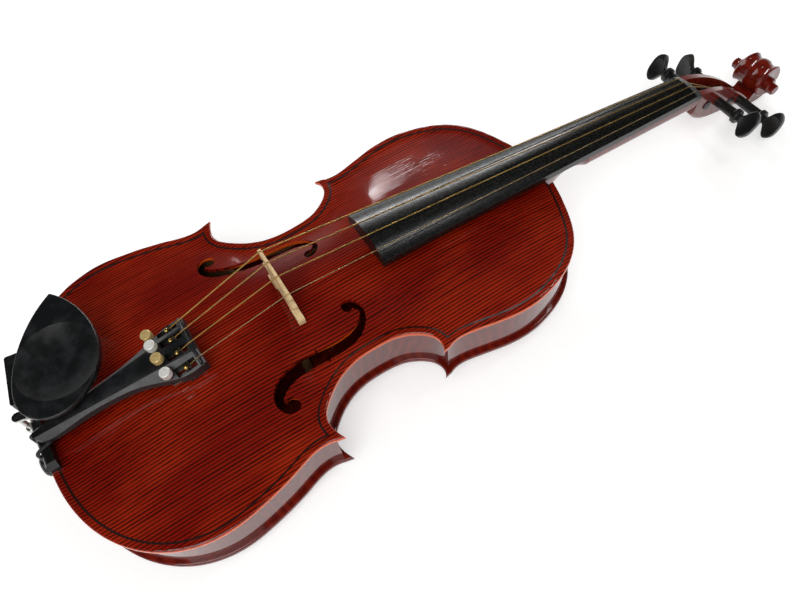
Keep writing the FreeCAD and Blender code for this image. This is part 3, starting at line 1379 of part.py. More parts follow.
def make_barrel(side):
    """Turnbuckle barrel with a cross hole for the turning pin."""
    low = CLAMP_MID_Z - BARREL_LENGTH / 2
    barrel = rod(side, low, low + BARREL_LENGTH, BARREL_RADIUS)
    barrel = barrel.makeChamfer(0.5, [e for e in barrel.Edges if len(e.Vertexes) == 1])
    bore = rod(side, low - 1, low + BARREL_LENGTH + 1, ROD_RADIUS + ROD_FIT)
    centre = V(side * CLAMP_SPACING / 2, CLAMP_OUT, CLAMP_MID_Z)
    cross = Part.makeCylinder(0.9, 12, centre - V(0, 6, 0), V(0, 1, 0))
    return from_clamp(one_solid(barrel.cut([bore, cross])))


def make_chinrest_plate():
    """A leaf-shaped dish, pointed at its outer end, on a foot over the plate's edge."""
    long = CHINREST_HALF_LENGTH
    wide = CHINREST_HALF_WIDTH
    outline = [V(-long, 0, 0), V(-long * 0.72, wide * 0.50, 0), V(-long * 0.22, wide * 0.93, 0),
               V(long * 0.28, wide, 0), V(long * 0.76, wide * 0.62, 0), V(long, -wide * 0.08, 0),
               V(long * 0.82, -wide * 0.78, 0), V(long * 0.32, -wide, 0), V(-long * 0.22, -wide * 0.82, 0),
               V(-long * 0.72, -wide * 0.40, 0), V(-long, 0, 0)]
    curve = Part.BSplineCurve()
    curve.interpolate(outline)
    turn = curve.parameter(V(long, -wide * 0.08, 0))
    face = closed_face([curve.toShape(curve.FirstParameter, turn), curve.toShape(turn, curve.LastParameter)])
    low = CHINREST_RIM_Z - CHINREST_THICKNESS
    dish = prism(face, low, CHINREST_RIM_Z)
    top = [e for e in dish.Edges if e.BoundBox.ZMin > CHINREST_RIM_Z - 0.01]
    dish = dish.makeFillet(0.9, top)
    dish = dish.common(Part.makeSphere(CHINREST_UNDER, V(0, 0, low + CHINREST_UNDER)))
    bowl_z = CHINREST_RIM_Z - CHINREST_HOLLOW + CHINREST_BOWL
    dish = dish.cut(Part.makeSphere(CHINREST_BOWL, V(long * 0.16, wide * 0.05, bowl_z)))
    dish.rotate(V(0, 0, 0), V(0, 0, 1), -CHINREST_TURN)
    dish.translate(V(CHINREST_CENTRE_X, CHINREST_CENTRE_Y, 0))
    foot = box_between((-CORK_LENGTH / 2, -10.5, CORK_TOP_Z), (CORK_LENGTH / 2, -1.0, low + 3))
    foot = from_clamp(foot.makeFillet(1.5, [e for e in foot.Edges if e.BoundBox.ZLength > 5]))
    return one_solid(one_solid(dish.fuse(foot)).cut(make_upper_bracket()))


# ---------------------------------------------------------------- the whole instrument
def make_plates():
    """Front and back with their purfling."""
    front = blank_plate(FRONT_ARCH)
    back_blank = blank_plate(BACK_ARCH)
    button = Part.makeCylinder(BUTTON_RADIUS, EDGE_THICKNESS, V(0, BODY_LENGTH + BUTTON_REACH - BUTTON_RADIUS,
                                                                -EDGE_THICKNESS))
    tab = box_between((-BUTTON_RADIUS, OUTLINE_END - 3, -EDGE_THICKNESS),
                      (BUTTON_RADIUS, BODY_LENGTH + BUTTON_REACH - BUTTON_RADIUS, 0))
    groove = outline_block(PURFLING_INSET, -FLUTE_DEPTH - PURFLING_DEPTH, 5)
    groove = groove.cut(outline_block(PURFLING_INSET + PURFLING_WIDTH, -10, 10))
    front_inlay = front.common(groove)
    back_inlay = back_blank.common(groove)
    notch = make_saddle_blank().fuse(box_between((-SADDLE_LENGTH / 2, -2, -EDGE_THICKNESS - 1),
                                                 (SADDLE_LENGTH / 2, SADDLE_DEPTH, 8)))
    gaps = [notch, heel_mortise()]
    front_inlay = front_inlay.cut(gaps)
    front = one_solid(front.cut(groove).cut(gaps + sound_hole_cutters()))
    back = one_solid(flipped_to_back(back_blank.cut(groove).fuse(button.fuse(tab))))
    inlays = list(front_inlay.Solids) + list(flipped_to_back(back_inlay).Solids)
    return front, back, Part.makeCompound(inlays)


def make_parts():
    """Every piece of the violin by its name, in the maker's frame."""
    strings = {name: make_string(name) for name in STRING_NAMES}
    cords = list(strings.values())
    front, back, purfling = make_plates()
    parts = {"front_plate": front, "back_plate": back, "purfling": purfling}
    for name, rib in make_ribs().items():
        openings = [heel_mortise()] if "upper" in name else [button_shank(0)]
        parts[name] = one_solid(rib.cut(openings))
    parts["linings"] = make_linings()
    parts["upper_block"] = make_upper_block()
    parts["lower_block"] = make_lower_block()
    parts["corner_blocks"] = Part.makeCompound(corner_block_list())
    parts["bass_bar"] = make_bass_bar()
    parts["sound_post"] = make_sound_post()
    parts["fingerboard"] = make_fingerboard()
    parts["nut"] = make_nut(cords)
    parts["neck"] = make_neck([peg_bore(i) for i in range(4)], [parts["fingerboard"], parts["nut"]])
    parts["saddle"] = one_solid(make_saddle_blank())
    parts["end_button"] = make_end_button()
    parts["tailgut"] = tailgut_solid()
    parts["tailpiece"] = make_tailpiece()
    parts["tailpiece_fret"] = make_tailpiece_fret(cords)
    parts["tuner_pins"] = make_tuner_pins()
    parts["bridge"] = make_bridge(cords)
    for index, name in enumerate(PEG_STRINGS):
        parts["peg_" + name] = make_peg(index)
        parts["winding_" + name] = make_winding(index, STRING_RADII[STRING_NAMES.index(name)])
    for name in STRING_NAMES:
        parts["string_" + name] = strings[name]
        parts["ball_end_" + name] = make_ball_end(name)
        parts["tuner_lever_" + name] = make_lever(name)
        parts["tuner_screw_" + name] = make_screw(name)
        parts["tuner_knob_" + name] = make_knob(name)
    parts["chinrest_plate"] = make_chinrest_plate()
    parts["chinrest_cork"] = make_chinrest_cork()
    parts["chinrest_bracket"] = make_upper_bracket()
    parts["clamp_foot"] = make_clamp_foot()
    parts["clamp_cork"] = make_clamp_cork()
    parts["clamp_barrel_inner"] = make_barrel(1)
    parts["clamp_barrel_outer"] = make_barrel(-1)
    return parts


def rest_tilt():
    """Tilt at which the back's arch and the scroll both lie on one plane."""
    low = neck_point(0, SCROLL_EYE_Y, SCROLL_EYE_Z) - V(0, 0, SCROLL_RADIUS)
    slopes = []
    for y, reach in arch_reach():
        z = BACK_EDGE_Z + FLUTE_DEPTH - arch_height(0, y, reach, BACK_ARCH)
        if FLUTE_INSET < y < OUTLINE_END - FLUTE_INSET:
            slopes.append((z - low.z) / (low.y - y))
    return math.atan(min(slopes))


def placement(parts):
    """Tilt about X and shift that put the violin on Z = 0 with its box centred on the origin."""
    tilt = rest_tilt()
    low_y, high_y, low_z = [], [], []
    for name in ("neck", "end_button", "back_plate", "clamp_foot", "chinrest_plate"):
        shape = parts[name].copy()
        shape.rotate(V(0, 0, 0), V(1, 0, 0), math.degrees(tilt))
        box = shape.optimalBoundingBox(False)
        low_y.append(box.YMin)
        high_y.append(box.YMax)
        low_z.append(box.ZMin)
    return tilt, V(0, -(min(low_y) + max(high_y)) / 2, -min(low_z))


def placed(shape, tilt, shift):
    moved = shape.copy()
    moved.rotate(V(0, 0, 0), V(1, 0, 0), math.degrees(tilt))
    moved.translate(shift)
    return moved


def main():
    parts = make_parts()
    tilt, shift = placement(parts)
    print("tilt", round(math.degrees(tilt), 4), "shift", [round(v, 4) for v in shift])
    for name, shape in parts.items():
        placed(shape, tilt, shift).exportStep("parts/" + name + ".step")


if __name__ == "__main__":
    main()
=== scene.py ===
import json
import math

import bpy
from mathutils import Euler, Matrix, Vector

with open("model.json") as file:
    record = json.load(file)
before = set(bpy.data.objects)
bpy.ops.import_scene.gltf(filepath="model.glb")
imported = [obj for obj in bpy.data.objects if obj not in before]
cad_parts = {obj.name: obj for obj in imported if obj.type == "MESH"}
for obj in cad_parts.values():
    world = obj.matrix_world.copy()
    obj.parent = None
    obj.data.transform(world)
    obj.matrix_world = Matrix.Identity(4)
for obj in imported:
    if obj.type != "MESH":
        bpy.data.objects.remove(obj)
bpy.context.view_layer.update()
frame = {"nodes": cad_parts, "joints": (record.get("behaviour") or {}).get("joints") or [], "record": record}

bl_info = {
    "name": "Violin Finisher",
    "version": (1, 0, 0),
    "blender": (4, 5, 0),
    "location": "View3D > Sidebar > Violin",
    "description": "Varnishes, strings and lights a violin that lies on its back",
    "category": "Object",
}

# ---------------------------------------------------------------- where the violin lies
MM = 0.001
STRINGS = ("g", "d", "a", "e")
UP = Vector(next(j["axis"] for j in frame["joints"] if j["name"] == "clamp_inner_turn"))
LIE = math.atan2(-UP.y, UP.z)                   # tilt of the body about X
BUTTON_RIM = Vector((0.0, -3.3, -19.5)) * MM    # end button's rim, from the tail edge of the front
RIM_AT = Vector(next(m["pos_m"] for m in frame["record"]["mounts"] if m["name"] == "end_button_rim"))
TAIL_EDGE = RIM_AT - Matrix.Rotation(LIE, 3, "X") @ BUTTON_RIM

# ---------------------------------------------------------------- lamps, camera and floor, in metres
BODY_MIDDLE = (0, 0.05, 0)
WINDOW_AT = (-1.22, 0.68, 0.66)
WINDOW_SIZE = (0.80, 0.10)
CEILING_AT = (0.11, 0.66, 1.40)
CEILING_SIZE = (0.10, 0.22)
FILL_AT = (0.9, -0.9, 1.5)
FILL_SIZE = (1.4, 1.4)
CAMERA_AT = (0.2448, -0.1750, 0.4293)
CAMERA_TURN = (31.777, 3.397, 57.730)           # degrees
CAMERA_LENS = 32.74                             # mm
FLOOR_HALF = 6.0
FLOOR_COLOUR = (0.82, 0.82, 0.81, 1)
FLOOR_GLOW = 0.45
WAVE_TURN = 20                                  # a wave texture's phase for each unit of its scale


# ---------------------------------------------------------------- shader building
def srgb(r, g, b):
    """A colour as it is given in screen values, for a shader socket."""
    straight = [((v / 255 + 0.055) / 1.055) ** 2.4 if v > 10 else v / 255 / 12.92 for v in (r, g, b)]
    return (*straight, 1.0)


class Finish:
    """A material in the making: its nodes, its shader and the body's own coordinates in mm."""

    def __init__(self, name):
        self.material = bpy.data.materials.new(name)
        self.material.use_nodes = True
        self.tree = self.material.node_tree
        self.shader = self.tree.nodes["Principled BSDF"]
        self.coordinates = self.add("ShaderNodeTexCoord")
        self.place = self.add("ShaderNodeMapping")
        self.link(self.coordinates.outputs["Object"], self.place.inputs["Vector"])
        self.place.inputs["Scale"].default_value = (1000, 1000, 1000)
        self.place.inputs["Rotation"].default_value = (-LIE, 0, 0)
        self.place.inputs["Location"].default_value = Matrix.Rotation(-LIE, 3, "X") @ TAIL_EDGE * -1000

    def add(self, kind, **settings):
        node = self.tree.nodes.new(kind)
        for key, value in settings.items():
            setattr(node, key, value)
        return node

    def link(self, source, target):
        self.tree.links.new(source, target)

    def set(self, **values):
        """Numbers and colours that are the same all over the surface."""
        for key, value in values.items():
            self.shader.inputs[key.replace("_", " ")].default_value = value
        return self

    def stretched(self, x, y, z):
        """Body coordinates stretched by a factor on each axis."""
        node = self.add("ShaderNodeMapping")
        node.inputs["Scale"].default_value = (x, y, z)
        self.link(self.place.outputs["Vector"], node.inputs["Vector"])
        return node.outputs["Vector"]

    def noise(self, vector, scale, detail=3.0, roughness=0.5):
        node = self.add("ShaderNodeTexNoise")
        node.inputs["Scale"].default_value = scale
        node.inputs["Detail"].default_value = detail
        node.inputs["Roughness"].default_value = roughness
        self.link(vector, node.inputs["Vector"])
        return node.outputs["Fac"]

    def bands(self, vector, spacing, axis):
        """Soft parallel lines, one every `spacing` mm."""
        node = self.add("ShaderNodeTexWave", wave_type="BANDS", bands_direction=axis)
        node.inputs["Scale"].default_value = 2 * math.pi / (WAVE_TURN * spacing)
        self.link(vector, node.inputs["Vector"])
        return node.outputs["Fac"]

    def math(self, operation, a, b=0.0):
        node = self.add("ShaderNodeMath", operation=operation)
        for socket, value in zip(node.inputs, (a, b)):
            if isinstance(value, (int, float)):
                socket.default_value = value
            else:
                self.link(value, socket)
        return node.outputs["Value"]

    def between(self, value, low, high, out_low=0.0, out_high=1.0):
        """Value rescaled from one range to another, smooth at both ends."""
        node = self.add("ShaderNodeMapRange", interpolation_type="SMOOTHSTEP")
        self.link(value, node.inputs["Value"])
        for key, number in (("From Min", low), ("From Max", high), ("To Min", out_low), ("To Max", out_high)):
            node.inputs[key].default_value = number
        return node.outputs["Result"]

    def mix(self, share, first, second):
        node = self.add("ShaderNodeMix", data_type="RGBA")
        for key, value in (("Factor", share), ("A", first), ("B", second)):
            socket = node.inputs[key]
            if isinstance(value, (int, float, tuple)):
                socket.default_value = value
            else:
                self.link(value, socket)
        return node.outputs["Result"]

    def colour(self, socket):
        self.link(socket, self.shader.inputs["Base Color"])
        return self

    def roughness(self, socket):
        self.link(socket, self.shader.inputs["Roughness"])
        return self

    def bump(self, height, distance_mm, strength, coat=False):
        node = self.add("ShaderNodeBump")
        node.inputs["Distance"].default_value = distance_mm * MM
        node.inputs["Strength"].default_value = strength
        self.link(height, node.inputs["Height"])
        self.link(node.outputs["Normal"], self.shader.inputs["Normal"])
        if coat:
            self.link(node.outputs["Normal"], self.shader.inputs["Coat Normal"])
        return self

    def separate(self, vector):
        node = self.add("ShaderNodeSeparateXYZ")
        self.link(vector, node.inputs["Vector"])
        return node.outputs

    def steepness(self):
        """1 on walls that stand square to the plates, 0 on their faces."""
        turned = self.add("ShaderNodeVectorMath", operation="DOT_PRODUCT")
        self.link(self.coordinates.outputs["Normal"], turned.inputs[0])
        turned.inputs[1].default_value = UP
        flat = self.math("ABSOLUTE", turned.outputs["Value"])
        return self.between(flat, 0.30, 0.85, 1.0, 0.0)


# ---------------------------------------------------------------- finishes
def spruce_varnish(look):
    """Straight dark grain under a clear red-brown varnish, with a painted orange highlight on the steep faces
    at the rim.
    """
    finish = Finish("front_varnish")
    along = finish.noise(finish.stretched(0.5, 0.02, 0.5), 1.0, 2.0)
    wander = finish.add("ShaderNodeCombineXYZ")
    finish.link(finish.math("MULTIPLY", along, 1.4), wander.inputs["X"])
    moved = finish.add("ShaderNodeVectorMath", operation="ADD")
    finish.link(finish.place.outputs["Vector"], moved.inputs[0])
    finish.link(wander.outputs["Vector"], moved.inputs[1])
    lines = finish.between(finish.bands(moved.outputs["Vector"], look.grain_spacing / MM, "X"), 0.35, 0.95)
    streaks = finish.noise(finish.stretched(0.85, 0.014, 0.85), 1.0, 4.0, 0.6)
    strength = finish.math("MULTIPLY", lines, finish.between(streaks, 0.25, 0.60, 0.45, 0.9))
    clouds = finish.noise(finish.stretched(1, 0.6, 1), 0.022, 3.0)
    ground = finish.mix(finish.between(clouds, 0.36, 0.66), (*look.varnish, 1), (*look.varnish_light, 1))
    grained = finish.mix(strength, ground, (*look.grain, 1))
    # Painted highlight: steep faces low at the front's edge are turned bright orange, standing in for a glint
    # of light.
    height = finish.separate(finish.place.outputs["Vector"])["Z"]
    low = finish.between(height, 0.3, 1.0, 1.0, 0.0)
    rim_highlight = finish.math("MULTIPLY", finish.steepness(), low)
    finish.colour(finish.mix(rim_highlight, grained, (*look.rim_highlight, 1)))
    finish.bump(finish.math("ADD", strength, finish.math("MULTIPLY", streaks, 1.2)), 0.022, 0.6, coat=True)
    return finish.set(Roughness=0.42, Coat_Weight=1.0, Coat_Roughness=0.05, Specular_IOR_Level=0.05).material


def maple_varnish(look, name):
    """Figured maple, its flames running across the wood, under deep red-brown varnish."""
    finish = Finish(name)
    wander = finish.noise(finish.place.outputs["Vector"], 0.03, 3.0)
    shifted = finish.add("ShaderNodeVectorMath", operation="ADD")
    finish.link(finish.place.outputs["Vector"], shifted.inputs[0])
    finish.link(finish.math("MULTIPLY", wander, 26.0), shifted.inputs[1])
    flames = finish.between(finish.bands(shifted.outputs["Vector"], 7.0, "Y"), 0.2, 0.9)
    clouds = finish.noise(finish.place.outputs["Vector"], 0.025, 3.0)
    share = finish.math("MULTIPLY", flames, finish.between(clouds, 0.35, 0.7, 0.1, 0.55))
    pores = finish.noise(finish.stretched(2.4, 0.25, 2.4), 1.0, 3.0)
    ground = finish.mix(share, (*look.back_varnish, 1), (*look.back_varnish_light, 1))
    finish.colour(finish.mix(finish.between(pores, 0.58, 0.72, 0.0, 0.35), ground, (*look.grain, 1)))
    finish.bump(pores, 0.008, 0.3)
    return finish.set(Roughness=0.40, Coat_Weight=1.0, Coat_Roughness=0.045, Specular_IOR_Level=0.1).material


def inlay():
    """Dark dyed strip under the varnish."""
    finish = Finish("inlay_dark")
    fleck = finish.noise(finish.place.outputs["Vector"], 0.8, 2.0)
    finish.colour(finish.mix(fleck, srgb(24, 7, 4), srgb(52, 13, 8)))
    return finish.set(Roughness=0.40, Coat_Weight=1.0, Coat_Roughness=0.06).material


def ebony(name, look, roughness):
    """Black wood with fine short pores, hand-polished."""
    finish = Finish(name)
    pores = finish.noise(finish.stretched(3.0, 0.22, 3.0), 1.0, 4.0, 0.6)
    finish.colour(finish.mix(finish.between(pores, 0.35, 0.7), (*look.ebony, 1), srgb(25, 27, 25)))
    finish.roughness(finish.between(pores, 0.3, 0.75, roughness - 0.05, roughness + 0.10))
    finish.bump(pores, 0.010, 0.35)
    return finish.set(Specular_IOR_Level=0.5).material


def satin_black(name, look, roughness):
    """Moulded black fittings with a fine satin texture and faint rub marks."""
    finish = Finish(name)
    grit = finish.noise(finish.place.outputs["Vector"], 5.0, 2.0)
    rubs = finish.noise(finish.place.outputs["Vector"], 0.09, 4.0, 0.6)
    finish.colour(finish.mix(finish.between(rubs, 0.4, 0.7), (*look.fittings, 1), srgb(33, 34, 36)))
    finish.roughness(finish.between(rubs, 0.35, 0.7, roughness - 0.06, roughness + 0.08))
    finish.bump(grit, 0.006, 0.4)
    return finish.material


def bare_wood(name, light, dark, flecks=False):
    """Unvarnished wood: soft grain along the body, and the bridge's cross flecks."""
    finish = Finish(name)
    grain = finish.noise(finish.stretched(1.6, 0.05, 1.6) if not flecks else finish.stretched(0.5, 1.5, 2.2),
                         1.0, 4.0, 0.6)
    finish.colour(finish.mix(finish.between(grain, 0.35, 0.7), light, dark))
    finish.bump(grain, 0.02, 0.4)
    return finish.set(Roughness=0.62).material


def wound_string(name, tint):
    """Flat-wound string: fine turns across its length."""
    finish = Finish(name)
    turns = finish.bands(finish.place.outputs["Vector"], 0.30, "Y")
    finish.colour(finish.mix(finish.between(turns, 0.2, 0.8), tint, srgb(120, 88, 40)))
    finish.bump(turns, 0.03, 0.6)
    return finish.set(Metallic=1.0, Roughness=0.30).material


def plated_metal(name, tint, worn, roughness=0.22, metallic=1.0):
    """Plated fittings with faint tarnish."""
    finish = Finish(name)
    tarnish = finish.noise(finish.place.outputs["Vector"], 0.35, 4.0, 0.6)
    finish.colour(finish.mix(finish.between(tarnish, 0.45, 0.75), tint, worn))
    finish.roughness(finish.between(tarnish, 0.35, 0.75, roughness, roughness + 0.18))
    return finish.set(Metallic=metallic).material


def cork():
    """Pressed cork granules."""
    finish = Finish("pressed_cork")
    cells = finish.add("ShaderNodeTexVoronoi")
    cells.inputs["Scale"].default_value = 0.9
    finish.link(finish.place.outputs["Vector"], cells.inputs["Vector"])
    grain = finish.noise(finish.place.outputs["Vector"], 1.4, 3.0)
    finish.colour(finish.mix(finish.between(grain, 0.35, 0.68), srgb(196, 150, 122), srgb(120, 78, 54)))
    finish.bump(cells.outputs["Distance"], 0.2, 0.5)
    return finish.set(Roughness=0.85).material


def dress(nodes, material):
    """Give CAD nodes their finish."""
    for node in nodes:
        mesh = frame["nodes"][node].data
        mesh.materials.clear()
        mesh.materials.append(material)


# ---------------------------------------------------------------- settings
def colour_property(name, description, *eight_bit):
    return bpy.props.FloatVectorProperty(name=name, description=description, subtype="COLOR", size=3,
                                         min=0.0, max=1.0, default=srgb(*eight_bit)[:3])


class ViolinLook(bpy.types.PropertyGroup):
    """Colours and sizes of the finishes"""
    varnish: colour_property("Front Varnish", "Deep colour of the front", 124, 17, 4)
    varnish_light: colour_property("Front Varnish Light", "Colour where the front's varnish is thin",
                                   156, 38, 12)
    grain: colour_property("Grain", "Colour of the front's dark grain lines", 34, 2, 1)
    # The rim colour is a painted orange highlight on the front's steep edge faces.
    rim_highlight: colour_property("Rim", "Colour of the worn rim of the front", 226, 88, 26)
    back_varnish: colour_property("Back Varnish", "Deep colour of the back, ribs and neck", 98, 16, 5)
    back_varnish_light: colour_property("Back Varnish Light", "Colour of the maple's flames", 140, 38, 16)
    ebony: colour_property("Ebony", "Colour of the fingerboard and pegs", 9, 11, 10)
    fittings: colour_property("Fittings", "Colour of the tailpiece and chinrest", 20, 21, 22)
    grain_spacing: bpy.props.FloatProperty(name="Grain Spacing", description="Distance between grain lines",
                                           default=2.1 * MM, min=0.4 * MM, max=4 * MM, unit="LENGTH")


class ViolinStage(bpy.types.PropertyGroup):
    """Camera, lamps and floor"""
    camera_at: bpy.props.FloatVectorProperty(name="Camera Place", description="Where the camera stands",
                                             subtype="TRANSLATION", default=CAMERA_AT)
    camera_turn: bpy.props.FloatVectorProperty(name="Camera Turn", description="How the camera is turned",
                                               subtype="EULER",
                                               default=[math.radians(v) for v in CAMERA_TURN])
    lens: bpy.props.FloatProperty(name="Lens", description="Focal length in mm", default=CAMERA_LENS,
                                  min=10, max=200)
    window: bpy.props.FloatProperty(name="Window", description="Power of the low window light", default=8.0,
                                    unit="POWER")
    ceiling: bpy.props.FloatProperty(name="Ceiling", description="Power of the small lamp overhead",
                                     default=1.2, unit="POWER")
    fill: bpy.props.FloatProperty(name="Fill", description="Power of the soft light from the front",
                                  default=20.0, unit="POWER")
    room: bpy.props.FloatProperty(name="Room Light", description="Strength of the light from the room",
                                  default=0.42)


# ---------------------------------------------------------------- operators
class VIOLIN_OT_front(bpy.types.Operator):
    """Varnish the front and darken the inlaid line"""
    bl_idname = "violin.front"
    bl_label = "Front"

    def execute(self, context):
        look = context.scene.violin_look
        dress(["front_plate"], spruce_varnish(look))
        dress(["purfling"], inlay())
        return {"FINISHED"}


class VIOLIN_OT_back_and_ribs(bpy.types.Operator):
    """Varnish the back and the six ribs"""
    bl_idname = "violin.back_and_ribs"
    bl_label = "Back and Ribs"

    def execute(self, context):
        look = context.scene.violin_look
        dress(["back_plate"], maple_varnish(look, "back_varnish"))
        ribs = [f"rib_{part}_{side}" for part in ("lower", "centre", "upper") for side in ("bass", "treble")]
        dress(ribs, maple_varnish(look, "rib_varnish"))
        return {"FINISHED"}


class VIOLIN_OT_inside(bpy.types.Operator):
    """Leave the blocks, linings, bar and post inside as bare wood"""
    bl_idname = "violin.inside"
    bl_label = "Inside"

    def execute(self, context):
        inner = ["linings", "upper_block", "lower_block", "corner_blocks", "bass_bar", "sound_post"]
        dress(inner, bare_wood("bare_spruce", srgb(150, 112, 70), srgb(112, 76, 44)))
        return {"FINISHED"}


class VIOLIN_OT_neck(bpy.types.Operator):
    """Varnish the neck and scroll, and blacken the fingerboard and nut"""
    bl_idname = "violin.neck"
    bl_label = "Neck"

    def execute(self, context):
        look = context.scene.violin_look
        dress(["neck"], maple_varnish(look, "neck_varnish"))
        dress(["fingerboard"], ebony("fingerboard_ebony", look, 0.24))
        dress(["nut"], ebony("nut_ebony", look, 0.28))
        return {"FINISHED"}


class VIOLIN_OT_pegs(bpy.types.Operator):
    """Polish the four pegs"""
    bl_idname = "violin.pegs"
    bl_label = "Pegs"

    def execute(self, context):
        dress([f"peg_{name}" for name in STRINGS], ebony("peg_ebony", context.scene.violin_look, 0.33))
        return {"FINISHED"}


class VIOLIN_OT_strings(bpy.types.Operator):
    """Give the strings and their turns on the pegs a wound metal finish"""
    bl_idname = "violin.strings"
    bl_label = "Strings"

    def execute(self, context):
        tints = {"g": (214, 176, 98), "d": (196, 160, 96), "a": (206, 168, 92), "e": (200, 178, 130)}
        for name in STRINGS:
            metal = wound_string(f"string_metal_{name}", srgb(*tints[name]))
            dress([f"string_{name}", f"winding_{name}"], metal)
        return {"FINISHED"}


class VIOLIN_OT_bridge(bpy.types.Operator):
    """Leave the bridge as pale flecked maple"""
    bl_idname = "violin.bridge"
    bl_label = "Bridge"

    def execute(self, context):
        dress(["bridge"], bare_wood("bridge_maple", srgb(232, 205, 156), srgb(196, 156, 104), flecks=True))
        return {"FINISHED"}


class VIOLIN_OT_tailpiece(bpy.types.Operator):
    """Blacken the tailpiece, its fret, the tailgut, the saddle and the end button"""
    bl_idname = "violin.tailpiece"
    bl_label = "Tailpiece"

    def execute(self, context):
        look = context.scene.violin_look
        dress(["tailpiece", "tailpiece_fret"], satin_black("tailpiece_black", look, 0.34))
        dress(["tailgut"], satin_black("tailgut_cord", look, 0.45))
        dress(["saddle", "end_button"], ebony("saddle_ebony", look, 0.30))
        return {"FINISHED"}


class VIOLIN_OT_tuners(bpy.types.Operator):
    """Plate the fine tuners and the ball ends"""
    bl_idname = "violin.tuners"
    bl_label = "Fine Tuners"

    def execute(self, context):
        gold = plated_metal("tuner_gold", srgb(226, 190, 110), srgb(170, 126, 60))
        steel = plated_metal("tuner_steel", srgb(170, 168, 160), srgb(120, 112, 100))
        # Painted reflection: the knobs' pale colours are partly plain diffuse paint rather than full metal,
        # so their tops show bright where a metal would stay dark.
        silver_painted_reflection = plated_metal("tuner_silver_painted_reflection", srgb(250, 249, 244), srgb(222, 216, 200), 0.30, 0.35)
        pale_gold_painted_reflection = plated_metal("tuner_pale_gold_painted_reflection", srgb(236, 208, 140), srgb(196, 160, 92), 0.30, 0.5)
        dress(["tuner_knob_d", "tuner_knob_e"], silver_painted_reflection)
        dress(["tuner_knob_g", "tuner_knob_a"], pale_gold_painted_reflection)
        dress([f"ball_end_{n}" for n in STRINGS], gold)
        dress([f"tuner_{part}_{n}" for n in STRINGS for part in ("lever", "screw")] + ["tuner_pins"], steel)
        return {"FINISHED"}


class VIOLIN_OT_chinrest(bpy.types.Operator):
    """Finish the chinrest, its corks and its screw clamp"""
    bl_idname = "violin.chinrest"
    bl_label = "Chinrest"

    def execute(self, context):
        dress(["chinrest_plate"], satin_black("chinrest_black", context.scene.violin_look, 0.34))
        dress(["chinrest_cork", "clamp_cork"], cork())
        metal = plated_metal("clamp_nickel", srgb(205, 205, 202), srgb(150, 148, 142), 0.2)
        dress(["chinrest_bracket", "clamp_foot", "clamp_barrel_inner", "clamp_barrel_outer"], metal)
        return {"FINISHED"}


def background_material(name, ground, glow):
    """A matt surface that is brighter to the eye than the light that it gives back."""
    material = bpy.data.materials.new(name)
    material.use_nodes = True
    tree = material.node_tree
    tree.nodes.clear()
    out = tree.nodes.new("ShaderNodeOutputMaterial")
    diffuse = tree.nodes.new("ShaderNodeBsdfDiffuse")
    diffuse.inputs["Color"].default_value = ground
    glowing = tree.nodes.new("ShaderNodeEmission")
    path = tree.nodes.new("ShaderNodeLightPath")
    seen = tree.nodes.new("ShaderNodeMath")
    seen.operation = "MAXIMUM"
    strength = tree.nodes.new("ShaderNodeMath")
    strength.operation = "MULTIPLY"
    strength.inputs[1].default_value = glow
    both = tree.nodes.new("ShaderNodeAddShader")
    tree.links.new(path.outputs["Is Camera Ray"], seen.inputs[0])
    tree.links.new(path.outputs["Is Glossy Ray"], seen.inputs[1])
    tree.links.new(seen.outputs[0], strength.inputs[0])
    tree.links.new(strength.outputs[0], glowing.inputs["Strength"])
    tree.links.new(diffuse.outputs[0], both.inputs[0])
    tree.links.new(glowing.outputs[0], both.inputs[1])
    tree.links.new(both.outputs[0], out.inputs["Surface"])
    return material


def room_light(context, strength):
    """White to the eye, a plain soft light on the violin, darker overhead in its reflections."""
    world = bpy.data.worlds.new("room")
    context.scene.world = world
    world.use_nodes = True
    tree = world.node_tree
    tree.nodes.clear()
    out = tree.nodes.new("ShaderNodeOutputWorld")
    path = tree.nodes.new("ShaderNodeLightPath")
    coordinates = tree.nodes.new("ShaderNodeTexCoord")
    height = tree.nodes.new("ShaderNodeSeparateXYZ")
    fade = tree.nodes.new("ShaderNodeMapRange")
    for key, number in (("From Min", 0.02), ("From Max", 0.40), ("To Min", 0.80), ("To Max", 0.0)):
        fade.inputs[key].default_value = number
    tree.links.new(coordinates.outputs["Generated"], height.inputs["Vector"])
    tree.links.new(height.outputs["Z"], fade.inputs["Value"])
    glossy = tree.nodes.new("ShaderNodeMix")
    glossy.inputs["A"].default_value = strength
    tree.links.new(path.outputs["Is Glossy Ray"], glossy.inputs["Factor"])
    tree.links.new(fade.outputs["Result"], glossy.inputs["B"])
    direct = tree.nodes.new("ShaderNodeMath")
    direct.operation = "MAXIMUM"
    tree.links.new(path.outputs["Is Camera Ray"], direct.inputs[0])
    tree.links.new(path.outputs["Is Transmission Ray"], direct.inputs[1])
    shown = tree.nodes.new("ShaderNodeMix")
    shown.inputs["B"].default_value = 1.0
    tree.links.new(direct.outputs[0], shown.inputs["Factor"])
    tree.links.new(glossy.outputs["Result"], shown.inputs["A"])
    background = tree.nodes.new("ShaderNodeBackground")
    tree.links.new(shown.outputs["Result"], background.inputs["Strength"])
    tree.links.new(background.outputs[0], out.inputs["Surface"])


def soft_lamp(context, name, at, towards, size, power):
    """A rectangular lamp of a width and a height that faces a place."""
    lamp = bpy.data.lights.new(name, "AREA")
    lamp.shape = "RECTANGLE"
    lamp.size, lamp.size_y = size
    lamp.energy = power
    holder = bpy.data.objects.new(name, lamp)
    holder.location = at
    holder.rotation_euler = (Vector(towards) - Vector(at)).to_track_quat("-Z", "Y").to_euler()
    context.scene.collection.objects.link(holder)


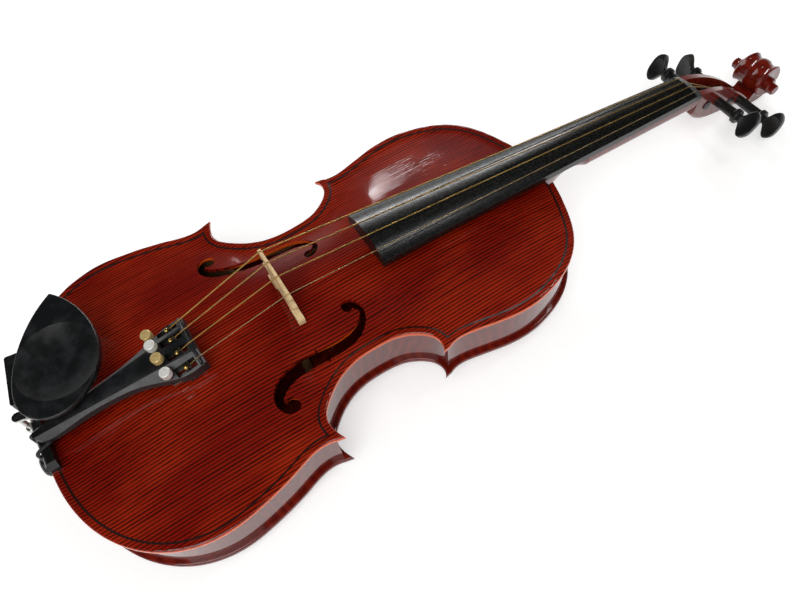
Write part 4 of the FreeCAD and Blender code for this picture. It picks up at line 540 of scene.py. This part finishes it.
class VIOLIN_OT_stage(bpy.types.Operator):
    """Set the pale floor, the lamps and the camera"""
    bl_idname = "violin.stage"
    bl_label = "Stage"

    def execute(self, context):
        stage = context.scene.violin_stage
        room_light(context, stage.room)
        mesh = bpy.data.meshes.new("floor")
        corners = [(x * FLOOR_HALF, y * FLOOR_HALF, 0) for x, y in ((-1, -1), (1, -1), (1, 1), (-1, 1))]
        mesh.from_pydata(corners, [], [(0, 1, 2, 3)])
        floor = bpy.data.objects.new("floor", mesh)
        context.scene.collection.objects.link(floor)
        mesh.materials.append(background_material("pale_floor", FLOOR_COLOUR, FLOOR_GLOW))
        soft_lamp(context, "window", WINDOW_AT, BODY_MIDDLE, WINDOW_SIZE, stage.window)
        soft_lamp(context, "ceiling", CEILING_AT, BODY_MIDDLE, CEILING_SIZE, stage.ceiling)
        soft_lamp(context, "fill", FILL_AT, (0, 0, 0), FILL_SIZE, stage.fill)
        camera = bpy.data.cameras.new("camera")
        camera.lens = stage.lens
        camera.sensor_width = 36.0
        camera.clip_start = 0.01
        holder = bpy.data.objects.new("camera", camera)
        holder.location = stage.camera_at
        holder.rotation_euler = Euler(stage.camera_turn, "XYZ")
        context.scene.collection.objects.link(holder)
        context.scene.camera = holder
        context.scene.view_settings.view_transform = "Standard"
        return {"FINISHED"}


class VIOLIN_PT_panel(bpy.types.Panel):
    """The violin's pieces, in the order in which they are finished"""
    bl_idname = "VIOLIN_PT_panel"
    bl_label = "Violin"
    bl_space_type = "VIEW_3D"
    bl_region_type = "UI"
    bl_category = "Violin"

    def draw(self, context):
        for group in (context.scene.violin_look, context.scene.violin_stage):
            box = self.layout.box()
            for key in group.__annotations__:
                box.prop(group, key)
        for operator in OPERATORS:
            self.layout.operator(operator.bl_idname)


OPERATORS = (
    VIOLIN_OT_stage,
    VIOLIN_OT_front,
    VIOLIN_OT_back_and_ribs,
    VIOLIN_OT_inside,
    VIOLIN_OT_neck,
    VIOLIN_OT_pegs,
    VIOLIN_OT_strings,
    VIOLIN_OT_bridge,
    VIOLIN_OT_tailpiece,
    VIOLIN_OT_tuners,
    VIOLIN_OT_chinrest,
)
CLASSES = (ViolinLook, ViolinStage, *OPERATORS, VIOLIN_PT_panel)


def register():
    for item in CLASSES:
        bpy.utils.register_class(item)
    bpy.types.Scene.violin_look = bpy.props.PointerProperty(type=ViolinLook)
    bpy.types.Scene.violin_stage = bpy.props.PointerProperty(type=ViolinStage)


def unregister():
    del bpy.types.Scene.violin_stage
    del bpy.types.Scene.violin_look
    for item in reversed(CLASSES):
        bpy.utils.unregister_class(item)


def main():
    register()
    for operator in OPERATORS:
        group, name = operator.bl_idname.split(".")
        getattr(getattr(bpy.ops, group), name)()


if __name__ == "__main__":
    main()
